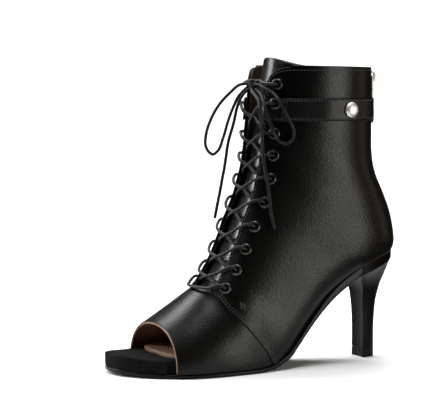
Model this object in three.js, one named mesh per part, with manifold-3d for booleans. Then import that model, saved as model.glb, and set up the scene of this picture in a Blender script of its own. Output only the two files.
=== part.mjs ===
// Left lace-up ankle boot with a peep toe, a platform, a block heel and a zip up the back.
// Millimetres, +Z up. +X is the outer side, -Y the toe, +Y the heel. The origin is on the floor
// under the forefoot, where the sole lies flat.
import * as THREE from 'three';
import { mergeVertices } from 'three/addons/utils/BufferGeometryUtils.js';
import Module from 'manifold-3d';

const wasm = await Module();
wasm.setup();

// Driving dimensions
const footLength = 225; // toe tip of the sole to the back of the counter
const ballWidth = 83; // widest place of the forefoot
const ankleWidth = 64; // widest place of the quarters over the waist and seat
const collarWidth = 71;
const heelHeight = 81; // floor to the seat line at the back
const instepHeight = 63; // floor to the foot of the throat
const collarHeight = 217.5;
const wall = 2; // leather with its lining
const quarterStep = 0.9; // how far the quarters stand proud of the vamp
const gap = 0.3; // between pieces that touch

const soleThickness = 3.1; // at the forefoot
const platformThickness = 9.3;
const insoleThickness = 2.6;
const heelTipHeight = 7;
const heelTipWidth = 16;
const tongueThickness = 2.2;
const tongueWidth = 44;
const tongueRise = 7.2; // how far it stands above the collar
const tongueReach = 14; // how far it runs on under the vamp
const tongueLean = 4; // how far its top leans in from the flaps
const strapWidth = 16.2;
const strapThickness = 1.4;
const throatFoot = 59.5; // floor to the bottom of the throat
const throatFootBevel = 3; // cut off each lower corner of the throat
const throatFootGap = 17.5; // half the gap between the flaps at its foot
const throatTopGap = 14;
const strapHeight = throatFoot + 0.807 * (collarHeight - throatFoot); // floor to the middle of the strap
const flapCorner = 14; // radius of the flaps' rounded top corners
const eyeletRadius = 4.3;
const eyeletBore = 2.15;
const eyeletBarrel = 0.6; // wall of the barrel through the leather
const eyeletDome = 1.2; // how far the flange stands up
const eyeletInset = 7.4; // throat edge to eyelet centre, sideways
const laceDiameter = 2.3;
const laceTuck = 2.8; // how far a strand runs on under its lower flap
const laceRise = 3.5; // how far inside the flap's edge it starts to rise
const laceOver = 5; // how far before the other flap's edge it is up
const laceSlack = 0.25; // more room between the lace and a flap than the usual gap
const snapRadius = 5.6;
const snapHeight = 3.5;
const zipSlotWidth = 8.5;
const zipEndGap = 1.5; // from the collar's edge down to the zip's end
const zipFoot = 112; // floor to the lower end of the zip
const zipTapeWidth = 24;
const zipTapeThickness = 0.9;
const zipChainWidth = 4.6;
const sliderLength = 9;
const sliderThickness = 4.2;
const bailWidth = 2;
const bailWire = 1.3;
const bailOpening = 4.4; // how far the opening stands out from the slider
const pullLength = 35;
const pullWidth = 7.6;
const pullThickness = 1.2;

const leather = { color: 0x14110f, roughness: 0.42, metalness: 0 };
const darkMetal = { color: 0x3a3836, roughness: 0.35, metalness: 0.9 };
const silver = { color: 0xc9c7c2, roughness: 0.2, metalness: 1 };

const boot = new THREE.Group();

function addMesh(name, geometry, look) {
  const mesh = new THREE.Mesh(geometry, new THREE.MeshStandardMaterial(look));
  mesh.name = name;
  boot.add(mesh);
  return mesh;
}

// Solids for cutting and joining

function toSolid(geometry) {
  const bare = geometry.clone();
  for (const name of Object.keys(bare.attributes)) {
    if (name !== 'position') bare.deleteAttribute(name);
  }
  const merged = mergeVertices(bare, 1e-4);
  return new wasm.Manifold(new wasm.Mesh({
    numProp: 3,
    vertProperties: new Float32Array(merged.attributes.position.array),
    triVerts: new Uint32Array(merged.index.array),
  }));
}

function toGeometry(solid) {
  const mesh = solid.getMesh();
  const geometry = new THREE.BufferGeometry();
  geometry.setAttribute('position', new THREE.BufferAttribute(new Float32Array(mesh.vertProperties), 3));
  geometry.setIndex(new THREE.BufferAttribute(new Uint32Array(mesh.triVerts), 1));
  geometry.computeVertexNormals();
  return geometry;
}

// A smooth curve through the rows of a table, read at a row number that need not be whole
function blendRows(rows, column, place) {
  const last = rows.length - 1;
  const here = Math.min(Math.max(place, 0), last);
  const i = Math.min(Math.floor(here), last - 1);
  const t = here - i;
  const at = (k) => rows[Math.min(Math.max(k, 0), last)][column];
  const slopeIn = (at(i + 1) - at(i - 1)) / 2;
  const slopeOut = (at(i + 2) - at(i)) / 2;
  const rise = at(i + 1) - at(i);
  const bend = 3 * rise - 2 * slopeIn - slopeOut;
  return at(i) + t * (slopeIn + t * (bend + t * (slopeIn + slopeOut - 2 * rise)));
}

// The same curve read at a value of one of its columns, which must grow from row to row
function readAlong(rows, key, value, column) {
  let i = 0;
  while (i < rows.length - 2 && rows[i + 1][key] < value) i += 1;
  const t = (value - rows[i][key]) / (rows[i + 1][key] - rows[i][key]);
  return blendRows(rows, column, i + Math.min(Math.max(t, 0), 1));
}

// A closed skin over rings of points that all have the same count, with a fan at each end
function loft(rings) {
  const count = rings[0].length;
  const positions = [];
  const index = [];
  for (const ring of rings) for (const p of ring) positions.push(p.x, p.y, p.z);
  for (let r = 0; r < rings.length - 1; r += 1) {
    for (let k = 0; k < count; k += 1) {
      const a = r * count + k;
      const b = r * count + ((k + 1) % count);
      index.push(a, b, a + count, b, b + count, a + count);
    }
  }
  const cap = (r, forward) => {
    const middle = new THREE.Vector3();
    for (const p of rings[r]) middle.add(p);
    middle.divideScalar(count);
    const centre = positions.length / 3;
    positions.push(middle.x, middle.y, middle.z);
    for (let k = 0; k < count; k += 1) {
      const a = r * count + k;
      const b = r * count + ((k + 1) % count);
      if (forward) index.push(centre, a, b);
      else index.push(centre, b, a);
    }
  };
  cap(0, false);
  cap(rings.length - 1, true);
  const geometry = new THREE.BufferGeometry();
  geometry.setAttribute('position', new THREE.BufferAttribute(new Float32Array(positions), 3));
  geometry.setIndex(index);
  return facingOut(geometry);
}

// Turns the faces round where the volume comes out negative
function facingOut(geometry) {
  const p = geometry.attributes.position;
  const index = geometry.index.array;
  const a = new THREE.Vector3();
  const b = new THREE.Vector3();
  const c = new THREE.Vector3();
  let volume = 0;
  for (let i = 0; i < index.length; i += 3) {
    a.fromBufferAttribute(p, index[i]);
    b.fromBufferAttribute(p, index[i + 1]);
    c.fromBufferAttribute(p, index[i + 2]);
    volume += a.dot(b.cross(c));
  }
  if (volume < 0) {
    for (let i = 0; i < index.length; i += 3) {
      const kept = index[i];
      index[i] = index[i + 1];
      index[i + 1] = kept;
    }
  }
  geometry.computeVertexNormals();
  return geometry;
}

// A slab between two faces: at(i, j, side) gives a point for each step along, across and through
function slab(along, across, at) {
  const rings = [];
  for (let i = 0; i <= along; i += 1) {
    const ring = [];
    for (let j = 0; j <= across; j += 1) ring.push(at(i / along, j / across, 1));
    for (let j = across; j >= 0; j -= 1) ring.push(at(i / along, j / across, 0));
    rings.push(ring);
  }
  return loft(rings);
}

// A prism across the boot from a side-view outline of [y, z] points
function sidePrism(outline, halfWidth) {
  const shape = new THREE.Shape(outline.map(([y, z]) => new THREE.Vector2(y, z)));
  const geometry = new THREE.ExtrudeGeometry(shape, { depth: 2 * halfWidth, bevelEnabled: false });
  geometry.applyMatrix4(new THREE.Matrix4().makeBasis(
    new THREE.Vector3(0, 1, 0), new THREE.Vector3(0, 0, 1), new THREE.Vector3(1, 0, 0)));
  geometry.translate(-halfWidth, 0, 0);
  return toSolid(geometry);
}

// Sole lines. y is a share of the foot length, the sides are shares of the ball width, the heights
// are shares of the heel height, and the edge is a share of the sole thickness.
const soleRows = [
  { y: -0.352, lateral: -0.040, medial: -0.170, under: 0.030, edge: 0.90 },
  { y: -0.346, lateral: 0.040, medial: -0.230, under: 0.028, edge: 0.92 },
  { y: -0.330, lateral: 0.120, medial: -0.285, under: 0.022, edge: 0.95 },
  { y: -0.306, lateral: 0.205, medial: -0.338, under: 0.014, edge: 1.00 },
  { y: -0.278, lateral: 0.280, medial: -0.385, under: 0.006, edge: 1.00 },
  { y: -0.245, lateral: 0.345, medial: -0.425, under: 0.001, edge: 1.00 },
  { y: -0.208, lateral: 0.405, medial: -0.455, under: 0.000, edge: 1.00 },
  { y: -0.160, lateral: 0.460, medial: -0.475, under: 0.000, edge: 1.00 },
  { y: -0.100, lateral: 0.495, medial: -0.478, under: 0.000, edge: 1.00 },
  { y: -0.023, lateral: 0.492, medial: -0.458, under: 0.000, edge: 1.00 },
  { y: 0.065, lateral: 0.468, medial: -0.412, under: 0.000, edge: 1.00 },
  { y: 0.130, lateral: 0.430, medial: -0.362, under: 0.014, edge: 1.10 },
  { y: 0.176, lateral: 0.402, medial: -0.332, under: 0.055, edge: 1.30 },
  { y: 0.213, lateral: 0.385, medial: -0.316, under: 0.124, edge: 1.50 },
  { y: 0.264, lateral: 0.365, medial: -0.304, under: 0.286, edge: 1.65 },
  { y: 0.308, lateral: 0.352, medial: -0.303, under: 0.425, edge: 1.80 },
  { y: 0.367, lateral: 0.338, medial: -0.312, under: 0.582, edge: 2.25 },
  { y: 0.430, lateral: 0.328, medial: -0.318, under: 0.706, edge: 2.40 },
  { y: 0.485, lateral: 0.322, medial: -0.316, under: 0.792, edge: 2.40 },
  { y: 0.551, lateral: 0.284, medial: -0.282, under: 0.862, edge: 2.40 },
  { y: 0.597, lateral: 0.215, medial: -0.215, under: 0.890, edge: 2.40 },
  { y: 0.625, lateral: 0.126, medial: -0.126, under: 0.902, edge: 2.40 },
  { y: 0.640, lateral: 0.045, medial: -0.045, under: 0.908, edge: 2.40 },
];
const breastPlace = 0.485; // share of the foot length where the sole stops at the heel
const soleUnder = (y) => Math.max(readAlong(soleRows, 'y', y / footLength, 'under'), 0) * heelHeight;
const soleTop = (y) => soleUnder(y) + readAlong(soleRows, 'y', y / footLength, 'edge') * soleThickness;
const featherLine = (y) => soleTop(y) + gap; // the upper's lower edge
const soleSide = (y, side) => readAlong(soleRows, 'y', y / footLength, side) * ballWidth;

// The upper's sections, from the open toe to the collar. Each lies in a plane across the boot from
// its back or bottom point to its front or top point. Places along are shares of the foot length.
// seat is 0 for a point on the sole line, and 1 to 2 from the seat to the collar. front is 0 to 1 from
// the floor to the instep, and 1 to 2 from the instep to the collar. The sides are shares of the
// named width, widest is the share of the way from back to front, and low and high say how full the
// section is on either side of it. lean moves the top point sideways, and skew turns the section.
const upperRows = [
  { backY: -0.216, seat: 0, frontY: -0.210, front: 0.573, of: ballWidth,
    lateral: 0.435, medial: 0.447, widest: 0.30, low: 4.0, high: 2.25, lean: -0.030, skew: 0.07 },
  { backY: -0.140, seat: 0, frontY: -0.158, front: 0.695, of: ballWidth,
    lateral: 0.487, medial: 0.478, widest: 0.32, low: 4.0, high: 2.20, lean: -0.030, skew: 0.04 },
  { backY: -0.037, seat: 0, frontY: -0.096, front: 0.865, of: ballWidth,
    lateral: 0.500, medial: 0.472, widest: 0.32, low: 3.8, high: 2.10, lean: -0.020, skew: 0 },
  { backY: 0.065, seat: 0, frontY: -0.052, front: 0.990, of: ballWidth,
    lateral: 0.480, medial: 0.430, widest: 0.32, low: 3.6, high: 2.20, lean: -0.010, skew: 0 },
  { backY: 0.149, seat: 0, frontY: -0.020, front: 1.065, of: ballWidth,
    lateral: 0.445, medial: 0.388, widest: 0.34, low: 3.4, high: 2.50, lean: 0, skew: 0 },
  { backY: 0.224, seat: 0, frontY: 0.008, front: 1.134, of: ankleWidth,
    lateral: 0.530, medial: 0.465, widest: 0.36, low: 3.2, high: 2.75, lean: 0, skew: 0 },
  { backY: 0.308, seat: 0, frontY: 0.033, front: 1.214, of: ankleWidth,
    lateral: 0.508, medial: 0.462, widest: 0.38, low: 3.0, high: 2.80, lean: 0, skew: 0 },
  { backY: 0.392, seat: 0, frontY: 0.054, front: 1.294, of: ankleWidth,
    lateral: 0.500, medial: 0.466, widest: 0.40, low: 2.9, high: 2.80, lean: 0, skew: 0 },
  { backY: 0.485, seat: 0, frontY: 0.074, front: 1.362, of: ankleWidth,
    lateral: 0.500, medial: 0.470, widest: 0.40, low: 2.8, high: 2.80, lean: 0, skew: 0 },
  { backY: 0.575, seat: 0, frontY: 0.091, front: 1.424, of: ankleWidth,
    lateral: 0.506, medial: 0.482, widest: 0.40, low: 2.7, high: 2.80, lean: 0, skew: 0 },
  { backY: 0.637, seat: 1.010, frontY: 0.102, front: 1.480, of: ankleWidth,
    lateral: 0.508, medial: 0.490, widest: 0.42, low: 2.5, high: 2.75, lean: 0, skew: 0 },
  { backY: 0.642, seat: 1.105, frontY: 0.113, front: 1.535, of: ankleWidth,
    lateral: 0.506, medial: 0.490, widest: 0.44, low: 2.4, high: 2.70, lean: 0, skew: 0 },
  { backY: 0.629, seat: 1.210, frontY: 0.120, front: 1.590, of: ankleWidth,
    lateral: 0.500, medial: 0.490, widest: 0.46, low: 2.3, high: 2.60, lean: 0, skew: 0 },
  { backY: 0.602, seat: 1.314, frontY: 0.125, front: 1.645, of: ankleWidth,
    lateral: 0.500, medial: 0.494, widest: 0.48, low: 2.3, high: 2.50, lean: 0, skew: 0 },
  { backY: 0.572, seat: 1.422, frontY: 0.129, front: 1.700, of: ankleWidth,
    lateral: 0.508, medial: 0.502, widest: 0.50, low: 2.3, high: 2.40, lean: 0, skew: 0 },
  { backY: 0.557, seat: 1.545, frontY: 0.131, front: 1.760, of: collarWidth,
    lateral: 0.472, medial: 0.468, widest: 0.50, low: 2.3, high: 2.20, lean: 0, skew: 0 },
  { backY: 0.552, seat: 1.676, frontY: 0.137, front: 1.828, of: collarWidth,
    lateral: 0.486, medial: 0.482, widest: 0.50, low: 2.3, high: 2.20, lean: 0, skew: 0 },
  { backY: 0.551, seat: 1.814, frontY: 0.142, front: 1.902, of: collarWidth,
    lateral: 0.494, medial: 0.492, widest: 0.50, low: 2.3, high: 2.20, lean: 0, skew: 0 },
  { backY: 0.549, seat: 2.000, frontY: 0.149, front: 2.012, of: collarWidth,
    lateral: 0.500, medial: 0.500, widest: 0.50, low: 2.3, high: 2.20, lean: 0, skew: 0 },
];
const trimBelow = 12; // how far the sections run on below the feather line, before they are trimmed

const between = (share, low, high) => (share <= 1 ? share * low : low + (share - 1) * (high - low));
const upperSizes = upperRows.map((row) => ({
  backY: row.backY * footLength,
  backZ: row.seat > 0 ? between(row.seat, heelHeight, collarHeight)
    : featherLine(row.backY * footLength) - trimBelow,
  closed: row.seat > 0 ? 1 : 0,
  frontY: row.frontY * footLength,
  frontZ: between(row.front, instepHeight, collarHeight),
  lateral: row.lateral * row.of,
  medial: row.medial * row.of,
  widest: row.widest,
  low: row.low,
  high: row.high,
  lean: row.lean * ballWidth,
  skew: row.skew,
}));

// A point of the upper's outer face, or of a face set off from it. place runs along the rows and
// turn goes once round, from the front over the outer side to the back.
function upperPoint(place, turn, offset = 0) {
  const s = {};
  for (const column of Object.keys(upperSizes[0])) s[column] = blendRows(upperSizes, column, place);
  const spanY = s.frontY - s.backY;
  const spanZ = s.frontZ - s.backZ;
  const span = Math.hypot(spanY, spanZ);
  const lower = s.widest * span + offset * Math.min(Math.max(s.closed, 0), 1);
  const upper = (1 - s.widest) * span + offset;
  const angle = 2 * Math.PI * turn;
  const side = Math.sin(angle) >= 0 ? s.lateral : s.medial;
  const full = Math.cos(angle) >= 0 ? s.high : s.low;
  const reach = Math.abs(Math.cos(angle)) ** (2 / full);
  const width = Math.sign(Math.sin(angle)) * Math.abs(Math.sin(angle)) ** (2 / full);
  const fromWidest = Math.cos(angle) >= 0 ? reach * upper : -reach * lower;
  const t = s.widest + fromWidest / span;
  const x = width * (side + offset) + s.lean * Math.max(fromWidest, 0) / upper;
  return new THREE.Vector3(x, s.backY + t * spanY + s.skew * x, s.backZ + t * spanZ);
}

const roundCount = 26; // points round the outer face, and fewer round the inner
const innerCount = 20;
const lastPlace = upperRows.length - 1;
const ringPlaces = [0, 0.7, 1.4, 2.2, 3, 4, 5, 6, 7, 8, 9, 9.7, 10.6, 12, 13, 14.5, 16, 18];

function upperLoft(offset, overrun, count) {
  const rings = ringPlaces.map((place) => {
    const ring = [];
    for (let k = 0; k < count; k += 1) ring.push(upperPoint(place, k / count, offset));
    return ring;
  });
  if (overrun > 0) {
    rings.unshift(rings[0].map((p) => p.clone().add(new THREE.Vector3(0, -overrun, 0))));
    rings.push(rings[rings.length - 1].map((p) => p.clone().add(new THREE.Vector3(0, 0, overrun))));
  }
  return toSolid(loft(rings));
}

// How far along the rows a face reaches a height, at a turn
function placeAt(height, turn, offset) {
  let low = 0;
  let high = lastPlace;
  for (let n = 0; n < 30; n += 1) {
    const middle = (low + high) / 2;
    if (upperPoint(middle, turn, offset).z < height) low = middle;
    else high = middle;
  }
  return (low + high) / 2;
}

// Place and turn of a face at a given height and sideways distance, on the front half or, with a
// middle turn of one half, on the back half
function findTurn(height, sideways, offset = 0, middleTurn = 0) {
  const sign = Math.sign(sideways) || 1;
  let near = middleTurn;
  let far = 0.25;
  for (let n = 0; n < 30; n += 1) {
    const middle = (near + far) / 2;
    const turn = sign * middle;
    const x = upperPoint(placeAt(height, turn, offset), turn, offset).x;
    if (Math.abs(x) < Math.abs(sideways)) near = middle;
    else far = middle;
  }
  const turn = (sign * (near + far)) / 2;
  return { place: placeAt(height, turn, offset), turn };
}

// A point in front of the boot or inside it, carried straight up above the collar
function frontPoint(height, sideways, offset) {
  const { place, turn } = findTurn(height, sideways, offset);
  return upperPoint(place, turn, offset).setZ(height);
}

// A point of the shaft at a height and turn
function shaftPoint(height, turn, offset) {
  return upperPoint(placeAt(height, turn, offset), turn, offset);
}

// The direction that faces out at a place and turn
function outward(place, turn) {
  const step = 0.01;
  const alongIt = upperPoint(Math.min(place + step, lastPlace), turn).sub(upperPoint(place - step, turn));
  const round = upperPoint(place, turn + step).sub(upperPoint(place, turn - step));
  return round.cross(alongIt).normalize();
}

// Seam of the quarters over the vamp, as shares of the foot length and the instep height
const seamRows = [
  { y: -0.045, z: 1.02 }, { y: -0.040, z: 0.86 }, { y: -0.024, z: 0.74 }, { y: -0.002, z: 0.66 },
  { y: 0.037, z: 0.52 }, { y: 0.080, z: 0.35 }, { y: 0.115, z: 0.19 }, { y: 0.146, z: 0.0 },
  { y: 0.16, z: -0.3 },
];
const farAway = 2 * footLength;
const seam = seamRows.map((row) => [row.y * footLength, row.z * instepHeight]);
const quarterOutline = [...seam, [farAway, -0.3 * instepHeight], [farAway, farAway],
  [-0.2 * footLength, farAway], [-0.2 * footLength, 1.3 * instepHeight]];

// Places along a board, closer together near its two ends
function boardPlaces(fromY, toY, steps) {
  const places = [];
  for (let k = 0; k <= steps; k += 1) {
    const swing = (1 - Math.cos((Math.PI * k) / steps)) / 2;
    places.push(fromY + ((swing + k / steps) / 2) * (toY - fromY));
  }
  return places;
}
const toeTip = soleRows[0].y * footLength;
const backTip = soleRows.at(-1).y * footLength;
const breast = breastPlace * footLength;
const outsolePlaces = boardPlaces(toeTip, breast - gap, 28);
const soleLine = [...outsolePlaces, ...boardPlaces(breast, backTip, 8)].map((y) => [y, featherLine(y)]);
const underOutline = [...soleLine, [farAway, soleLine.at(-1)[1]], [farAway, -farAway], [toeTip, -farAway]];

// The throat, as a front-view outline pushed through the front of the boot
const throatTaper = 0.6; // share of the throat's height over which it narrows
function throatHalf(z) {
  const t = (z - throatFoot) / (throatTaper * (collarHeight - throatFoot));
  return throatFootGap + (throatTopGap - throatFootGap) * Math.min(Math.max(t, 0), 1);
}
function throatCutter() {
  const shape = new THREE.Shape();
  const corner = collarHeight - flapCorner;
  const over = collarHeight + flapCorner;
  const low = throatFoot + throatFootBevel;
  const edgeSteps = 5;
  shape.moveTo(-throatFootGap + throatFootBevel, throatFoot);
  shape.lineTo(throatFootGap - throatFootBevel, throatFoot);
  shape.lineTo(throatFootGap, low);
  for (let k = 1; k <= edgeSteps; k += 1) {
    const z = low + (k / edgeSteps) * (corner - low);
    shape.lineTo(throatHalf(z), z);
  }
  shape.absarc(throatTopGap + flapCorner, corner, flapCorner, Math.PI, Math.PI / 2, true);
  shape.lineTo(throatTopGap + flapCorner, over);
  shape.lineTo(-throatTopGap - flapCorner, over);
  shape.lineTo(-throatTopGap - flapCorner, corner + flapCorner);
  shape.absarc(-throatTopGap - flapCorner, corner, flapCorner, Math.PI / 2, 0, true);
  for (let k = edgeSteps - 1; k >= 1; k -= 1) {
    const z = low + (k / edgeSteps) * (corner - low);
    shape.lineTo(-throatHalf(z), z);
  }
  shape.lineTo(-throatFootGap, low);
  const depth = 0.6 * footLength;
  const geometry = new THREE.ExtrudeGeometry(shape, { depth, bevelEnabled: false, curveSegments: 6 });
  geometry.rotateX(Math.PI / 2);
  geometry.translate(0, 0.25 * footLength, 0);
  return toSolid(geometry);
}

// Eyelets up both edges of the throat, at shares of the height from its foot to the collar
const eyeletHeights = [0.006, 0.086, 0.178, 0.279, 0.387, 0.494, 0.60, 0.70, 0.835, 0.922];
const strapEyelet = 8; // the one that is punched through the strap
const strapOut = quarterStep + gap;
const eyelets = [];
for (const side of [1, -1]) {
  eyeletHeights.forEach((share, k) => {
    const height = throatFoot + share * (collarHeight - throatFoot);
    const { place, turn } = findTurn(height, side * (throatHalf(height) + eyeletInset));
    const out = outward(place, turn);
    eyelets.push({
      name: `eyelet_${side > 0 ? 'lateral' : 'medial'}_${k + 1}`,
      row: k,
      out,
      centre: upperPoint(place, turn)
        .addScaledVector(out, quarterStep + (k === strapEyelet ? strapThickness + gap : 0)),
    });
  });
}

function boreCutter(centre, out, radius, length) {
  const geometry = new THREE.CylinderGeometry(radius, radius, length, 8);
  geometry.applyQuaternion(new THREE.Quaternion().setFromUnitVectors(new THREE.Vector3(0, 1, 0), out));
  geometry.translate(centre.x, centre.y, centre.z);
  return toSolid(geometry);
}

const boreRadius = eyeletBore + eyeletBarrel + gap;
const boreLength = 6 * wall;

function buildUpper() {
  const vamp = upperLoft(0, 0, roundCount);
  const quarters = upperLoft(quarterStep, 0, roundCount).intersect(sidePrism(quarterOutline, ballWidth));
  let upper = vamp.add(quarters).subtract(upperLoft(-wall, trimBelow, innerCount));
  upper = upper.subtract(sidePrism(underOutline, ballWidth)).subtract(throatCutter());
  const slot = new THREE.BoxGeometry(zipSlotWidth, 0.25 * footLength, collarHeight);
  slot.translate(0, 0.62 * footLength, zipFoot + collarHeight / 2);
  upper = upper.subtract(toSolid(slot));
  for (const eyelet of eyelets) {
    upper = upper.subtract(boreCutter(eyelet.centre, eyelet.out, boreRadius, boreLength));
  }
  return toGeometry(upper);
}
addMesh('upper', buildUpper(), leather);

// A board along the foot between a lower and an upper line, as wide as the sole or a share of it
function board(places, lowerLine, upperLine, share = () => 1) {
  const rings = [];
  for (const y of places) {
    const lateral = soleSide(y, 'lateral') * share(y);
    const medial = soleSide(y, 'medial') * share(y);
    const low = lowerLine(y);
    const high = upperLine(y);
    rings.push([new THREE.Vector3(lateral, y, low), new THREE.Vector3(lateral, y, high),
      new THREE.Vector3(medial, y, high), new THREE.Vector3(medial, y, low)]);
  }
  return loft(rings);
}

const soleLook = { color: 0x0d0c0c, roughness: 0.5, metalness: 0 };
const glossBlack = { color: 0x0e0d0d, roughness: 0.25, metalness: 0 };
const tan = { color: 0x9a6a45, roughness: 0.7, metalness: 0 };

addMesh('outsole', board(outsolePlaces, soleUnder, soleTop), soleLook);

// The platform tapers out behind the forefoot. Its thickness is a share of the platform's own.
const platformRows = [
  { y: -0.352, thick: 1 }, { y: 0.065, thick: 1 }, { y: 0.130, thick: 0.98 }, { y: 0.176, thick: 0.72 },
  { y: 0.213, thick: 0.42 }, { y: 0.245, thick: 0.24 }, { y: 0.270, thick: 0.14 }, { y: 0.300, thick: 0 },
];
const platformEnd = 0.262 * footLength;
const platformLow = (y) => soleTop(y) + gap;
const platformTop = (y) => platformLow(y)
  + Math.max(readAlong(platformRows, 'y', y / footLength, 'thick'), 0) * platformThickness;
const insideWall = upperLoft(-wall - gap, trimBelow, innerCount);
const openToe = Math.min(...[0, 0.25, 0.75].map((turn) => upperPoint(0, turn).y)) - 2 * gap;

function buildPlatform() {
  const places = [...outsolePlaces.filter((y) => y < platformEnd - 2), platformEnd];
  const whole = toSolid(board(places, platformLow, platformTop));
  const ahead = new THREE.BoxGeometry(2 * ballWidth, footLength, heelHeight);
  ahead.translate(0, openToe - footLength / 2, 0);
  return toGeometry(whole.intersect(toSolid(ahead)).add(whole.intersect(insideWall)));
}
addMesh('platform', buildPlatform(), { color: 0x12100f, roughness: 0.9, metalness: 0 });

const insoleNose = 22; // length of its rounded front
const insoleFront = openToe + 5;
const insoleLow = (y) => platformTop(y) + gap;
const insoleTop = (y) => insoleLow(y) + insoleThickness;
function roundNose(y) {
  const t = Math.min((y - insoleFront) / insoleNose, 1);
  return 0.3 + 0.7 * (1 - (1 - t) ** 2.6) ** (1 / 2.6);
}
const insoleBoard = board(boardPlaces(insoleFront, backTip, 22), insoleLow, insoleTop, roundNose);
addMesh('insole', toGeometry(toSolid(insoleBoard).intersect(insideWall)), tan);

// The heel's sections, from the seat down to its tip. The heights are shares of the heel height,
// and spread is how much of the way from the tip's width to the seat's width each one has.
const heelRows = [
  { frontY: 0.485, backY: 0.648, frontZ: 0.797, backZ: 0.949, spread: 1.00, round: 2.0 },
  { frontY: 0.490, backY: 0.641, frontZ: 0.768, backZ: 0.885, spread: 0.80, round: 2.0 },
  { frontY: 0.503, backY: 0.6285, frontZ: 0.730, backZ: 0.790, spread: 0.50, round: 2.1 },
  { frontY: 0.5175, backY: 0.616, frontZ: 0.688, backZ: 0.705, spread: 0.27, round: 2.2 },
  { frontY: 0.526, backY: 0.6075, frontZ: 0.635, backZ: 0.635, spread: 0.14, round: 2.3 },
  { frontY: 0.529, backY: 0.598, frontZ: 0.535, backZ: 0.535, spread: 0.055, round: 2.4 },
  { frontY: 0.532, backY: 0.5925, frontZ: 0.410, backZ: 0.410, spread: 0.017, round: 2.4 },
  { frontY: 0.5335, backY: 0.590, frontZ: 0.235, backZ: 0.235, spread: 0, round: 2.4 },
  { frontY: 0.5335, backY: 0.590, frontZ: 0, backZ: 0, spread: 0, round: 2.4 },
];
const heelSeatWidth = 2 * soleSide(breast, 'lateral');
const breastHollow = 0.06; // of the section's depth

function heelRing(row, heightAt) {
  const half = (heelTipWidth + row.spread * (heelSeatWidth - heelTipWidth)) / 2;
  const front = row.frontY * footLength;
  const back = row.backY * footLength;
  const steps = 16;
  const ring = [];
  for (let k = 0; k <= steps; k += 1) {
    const angle = (Math.PI * k) / steps;
    const x = half * Math.sign(Math.cos(angle)) * Math.abs(Math.cos(angle)) ** (2 / row.round);
    const y = front + (back - front) * Math.abs(Math.sin(angle)) ** (2 / row.round);
    ring.push(new THREE.Vector3(x, y, heightAt(y, front, back)));
  }
  const hollow = front + breastHollow * (back - front) * (1 - row.spread);
  ring.push(new THREE.Vector3(0, hollow, heightAt(hollow, front, back)));
  return ring;
}
function heelHeightAt(row, y, front, back) {
  return (row.frontZ + ((row.backZ - row.frontZ) * (y - front)) / (back - front)) * heelHeight;
}
const heelRings = [heelRing(heelRows[0], (y) => soleTop(y))];
for (const row of heelRows.slice(0, -1)) {
  heelRings.push(heelRing(row, (y, front, back) => heelHeightAt(row, y, front, back)));
}
const tipRow = heelRows.at(-1);
heelRings.push(heelRing(tipRow, () => heelTipHeight));
addMesh('heel', loft(heelRings), glossBlack);
addMesh('heel_tip', loft([heelRing(tipRow, () => heelTipHeight - gap), heelRing(tipRow, () => 0)]), soleLook);

// The tongue lies close under the vamp at its foot and far enough in for the lace above it
const laceRadius = laceDiameter / 2;
const tongueFoot = throatFoot - tongueReach;
const tongueTop = collarHeight + tongueRise;
const tongueClear = laceDiameter + 3 * gap;
const topBow = 6; // how far the tongue's top corners drop
const leanFrom = 0.75; // share of the tongue's length where it starts to lean in

function tongueFace(along, across, side) {
  const x = (2 * across - 1) * (tongueWidth / 2);
  const top = tongueTop - topBow * (2 * across - 1) ** 2;
  const height = tongueFoot + along * (top - tongueFoot);
  const below = Math.min((height - tongueFoot) / tongueReach, 1);
  const leaning = Math.max((along - leanFrom) / (1 - leanFrom), 0);
  const sink = wall + 2 * gap + below * tongueClear + leaning ** 2 * tongueLean;
  return frontPoint(height, x, -sink - (1 - side) * tongueThickness);
}
addMesh('tongue', slab(12, 5, tongueFace), leather);

// The straps lie on the quarters. The medial one runs round the back over the zip and ends under
// the lateral one's free tab.
const frontTurn = (side) => findTurn(strapHeight, side * (throatTopGap + 2 * gap)).turn;
const tabTipTurn = 0.345; // where the tab's point is, as a share of the way round from the front
const snapTurn = 0.287;
const underEndTurn = 0.262;
const tabRise = strapThickness + gap; // the tab lies over the medial strap
const tabPoint = 8; // length of the pointed end

function strap(fromTurn, toTurn, steps, lift, halfAt) {
  return toSolid(slab(steps, 1, (along, across, side) => {
    const turn = fromTurn + along * (toTurn - fromTurn);
    const height = strapHeight + (2 * across - 1) * halfAt(along);
    return shaftPoint(height, turn, strapOut + lift(turn) + side * strapThickness);
  }));
}

function punchStrap(solid, side) {
  const eyelet = eyelets.find((one) => one.row === strapEyelet && Math.sign(one.centre.x) === side);
  return toGeometry(solid.subtract(boreCutter(eyelet.centre, eyelet.out, boreRadius, boreLength)));
}

const strapHalf = strapWidth / 2;
const tabRound = Math.PI * (upperSizes[lastPlace].backY - upperSizes[lastPlace].frontY);
const tabLength = (tabTipTurn - frontTurn(1)) * tabRound;
function tabHalf(along) {
  const left = Math.min(((1 - along) * tabLength) / tabPoint, 1);
  return Math.max(strapHalf * (1 - (1 - left) ** 1.6), 0.1 * strapHalf);
}
const liftLength = 0.06; // share of the way round over which the tab climbs onto the other strap
const tabLift = (turn) => {
  const t = Math.min(Math.max((turn - underEndTurn + 1.2 * liftLength) / liftLength, 0), 1);
  return tabRise * t * t * (3 - 2 * t);
};
const lateralStrap = strap(frontTurn(1), tabTipTurn, 22, tabLift, tabHalf);
addMesh('strap_lateral', punchStrap(lateralStrap, 1), leather);
const medialStrap = strap(frontTurn(-1), underEndTurn - 1, 24, () => 0, () => strapHalf);
addMesh('strap_medial', punchStrap(medialStrap, -1), leather);

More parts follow.
